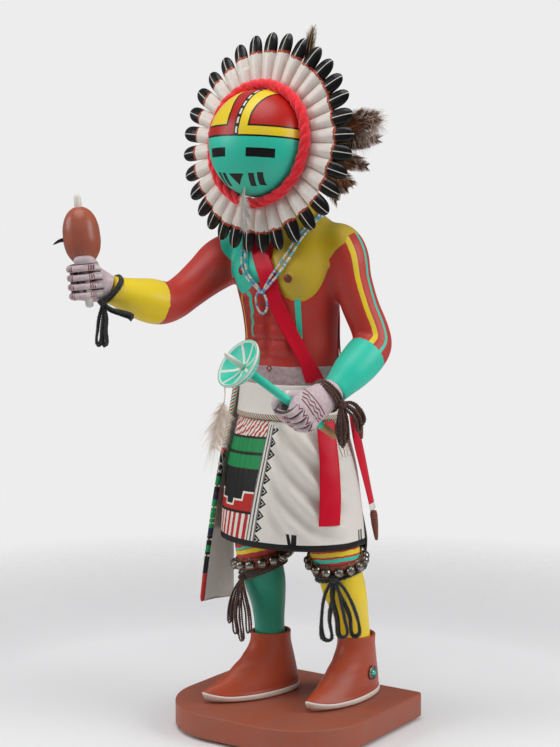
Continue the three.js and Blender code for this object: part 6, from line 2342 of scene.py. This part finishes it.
class DOLL_OT_trim(bpy.types.Operator):
    """Thread the beads, wind the drops and set the button"""

    bl_idname = "doll.trim"
    bl_label = "Beads, drops and button"

    def execute(self, context):
        paints = context.scene.doll_paints
        glass = painted("bead_glass", glass_coats, 0.12, 0.1, 0.1, 0.0, Coat_Weight=0.6)
        piece("beads", necklace_mesh(), [glass], "glass_beads", ["necklace"])
        thread = painted("brown_thread", cord_coats, 0.6)
        for name in DROPS:
            piece("wound_" + name, drop_mesh(name), [thread], "brown_cord", [name])
        made = material("silver_button")
        surface = made.use("worn_metal", Metal=concho_coats(made, paints), Wear=0.5)
        skin = made.finish(surface, 0.3, 0.1, Metallic=0.85)
        piece("button", concho_mesh(), [skin], "silver", ["boot_concho"])
        return {"FINISHED"}


class DOLL_OT_ties(bpy.types.Operator):
    """Wind and knot the yarn ties"""

    bl_idname = "doll.ties"
    bl_label = "Yarn ties"

    def execute(self, context):
        paints, carving = context.scene.doll_paints, context.scene.doll_carving
        black, brown = wool("black_wool", paints.black_yarn), wool("brown_wool", paints.brown_yarn)
        for name in TIES:
            dark = name in ("right_wrist_yarn", "left_knee_yarn")
            skin, finish = (black, "black_yarn") if dark else (brown, "brown_yarn")
            piece("tied_" + name, tie_mesh(name, carving.yarn_hair), [skin], finish, [name])
        return {"FINISHED"}


class DOLL_OT_bells(bpy.types.Operator):
    """Thread the bells above the knees"""

    bl_idname = "doll.bells"
    bl_label = "Bells"

    def execute(self, context):
        skins = bell_materials(context.scene.doll_paints)
        for side in KNEES:
            piece(f"{side}_bells", bells_mesh(side), skins, "nickel_bells", [f"{side}_knee_bells"])
        return {"FINISHED"}


class DOLL_OT_stage(bpy.types.Operator):
    """Set floor, lights and camera"""

    bl_idname = "doll.stage"
    bl_label = "Stage"

    def execute(self, context):
        build_stage(context.scene.doll_stage)
        return {"FINISHED"}


class DOLL_PT_panel(bpy.types.Panel):
    """Lists every piece of the doll"""

    bl_label = "Kachina doll"
    bl_space_type = "VIEW_3D"
    bl_region_type = "UI"
    bl_category = "Doll"

    def draw(self, context):
        for step in STEPS:
            self.layout.operator(step.bl_idname)
        for group_name in ("doll_paints", "doll_carving", "doll_stage"):
            settings = getattr(context.scene, group_name)
            box = self.layout.box()
            for name in settings.__annotations__:
                box.prop(settings, name)


STEPS = (
    *(DOLL_OT_stage, DOLL_OT_board, DOLL_OT_body, DOLL_OT_mask, DOLL_OT_dress, DOLL_OT_legs),
    *(DOLL_OT_hands, DOLL_OT_ruff, DOLL_OT_roll, DOLL_OT_feathers, DOLL_OT_rattle, DOLL_OT_staff),
    *(DOLL_OT_sash, DOLL_OT_ribbons, DOLL_OT_trim, DOLL_OT_ties, DOLL_OT_bells),
)
CLASSES = (DollPaints, DollCarving, DollStage, *STEPS, DOLL_PT_panel)


def register():
    for thing in CLASSES:
        bpy.utils.register_class(thing)
    bpy.types.Scene.doll_paints = PointerProperty(type=DollPaints)
    bpy.types.Scene.doll_carving = PointerProperty(type=DollCarving)
    bpy.types.Scene.doll_stage = PointerProperty(type=DollStage)


def unregister():
    del bpy.types.Scene.doll_stage, bpy.types.Scene.doll_carving, bpy.types.Scene.doll_paints
    for thing in reversed(CLASSES):
        bpy.utils.unregister_class(thing)


def main():
    register()
    for group in GROUPS:
        shared_group(*group)
    for step in STEPS:
        family, name = step.bl_idname.split(".")
        getattr(getattr(bpy.ops, family), name)()


if __name__ == "__main__":
    main()
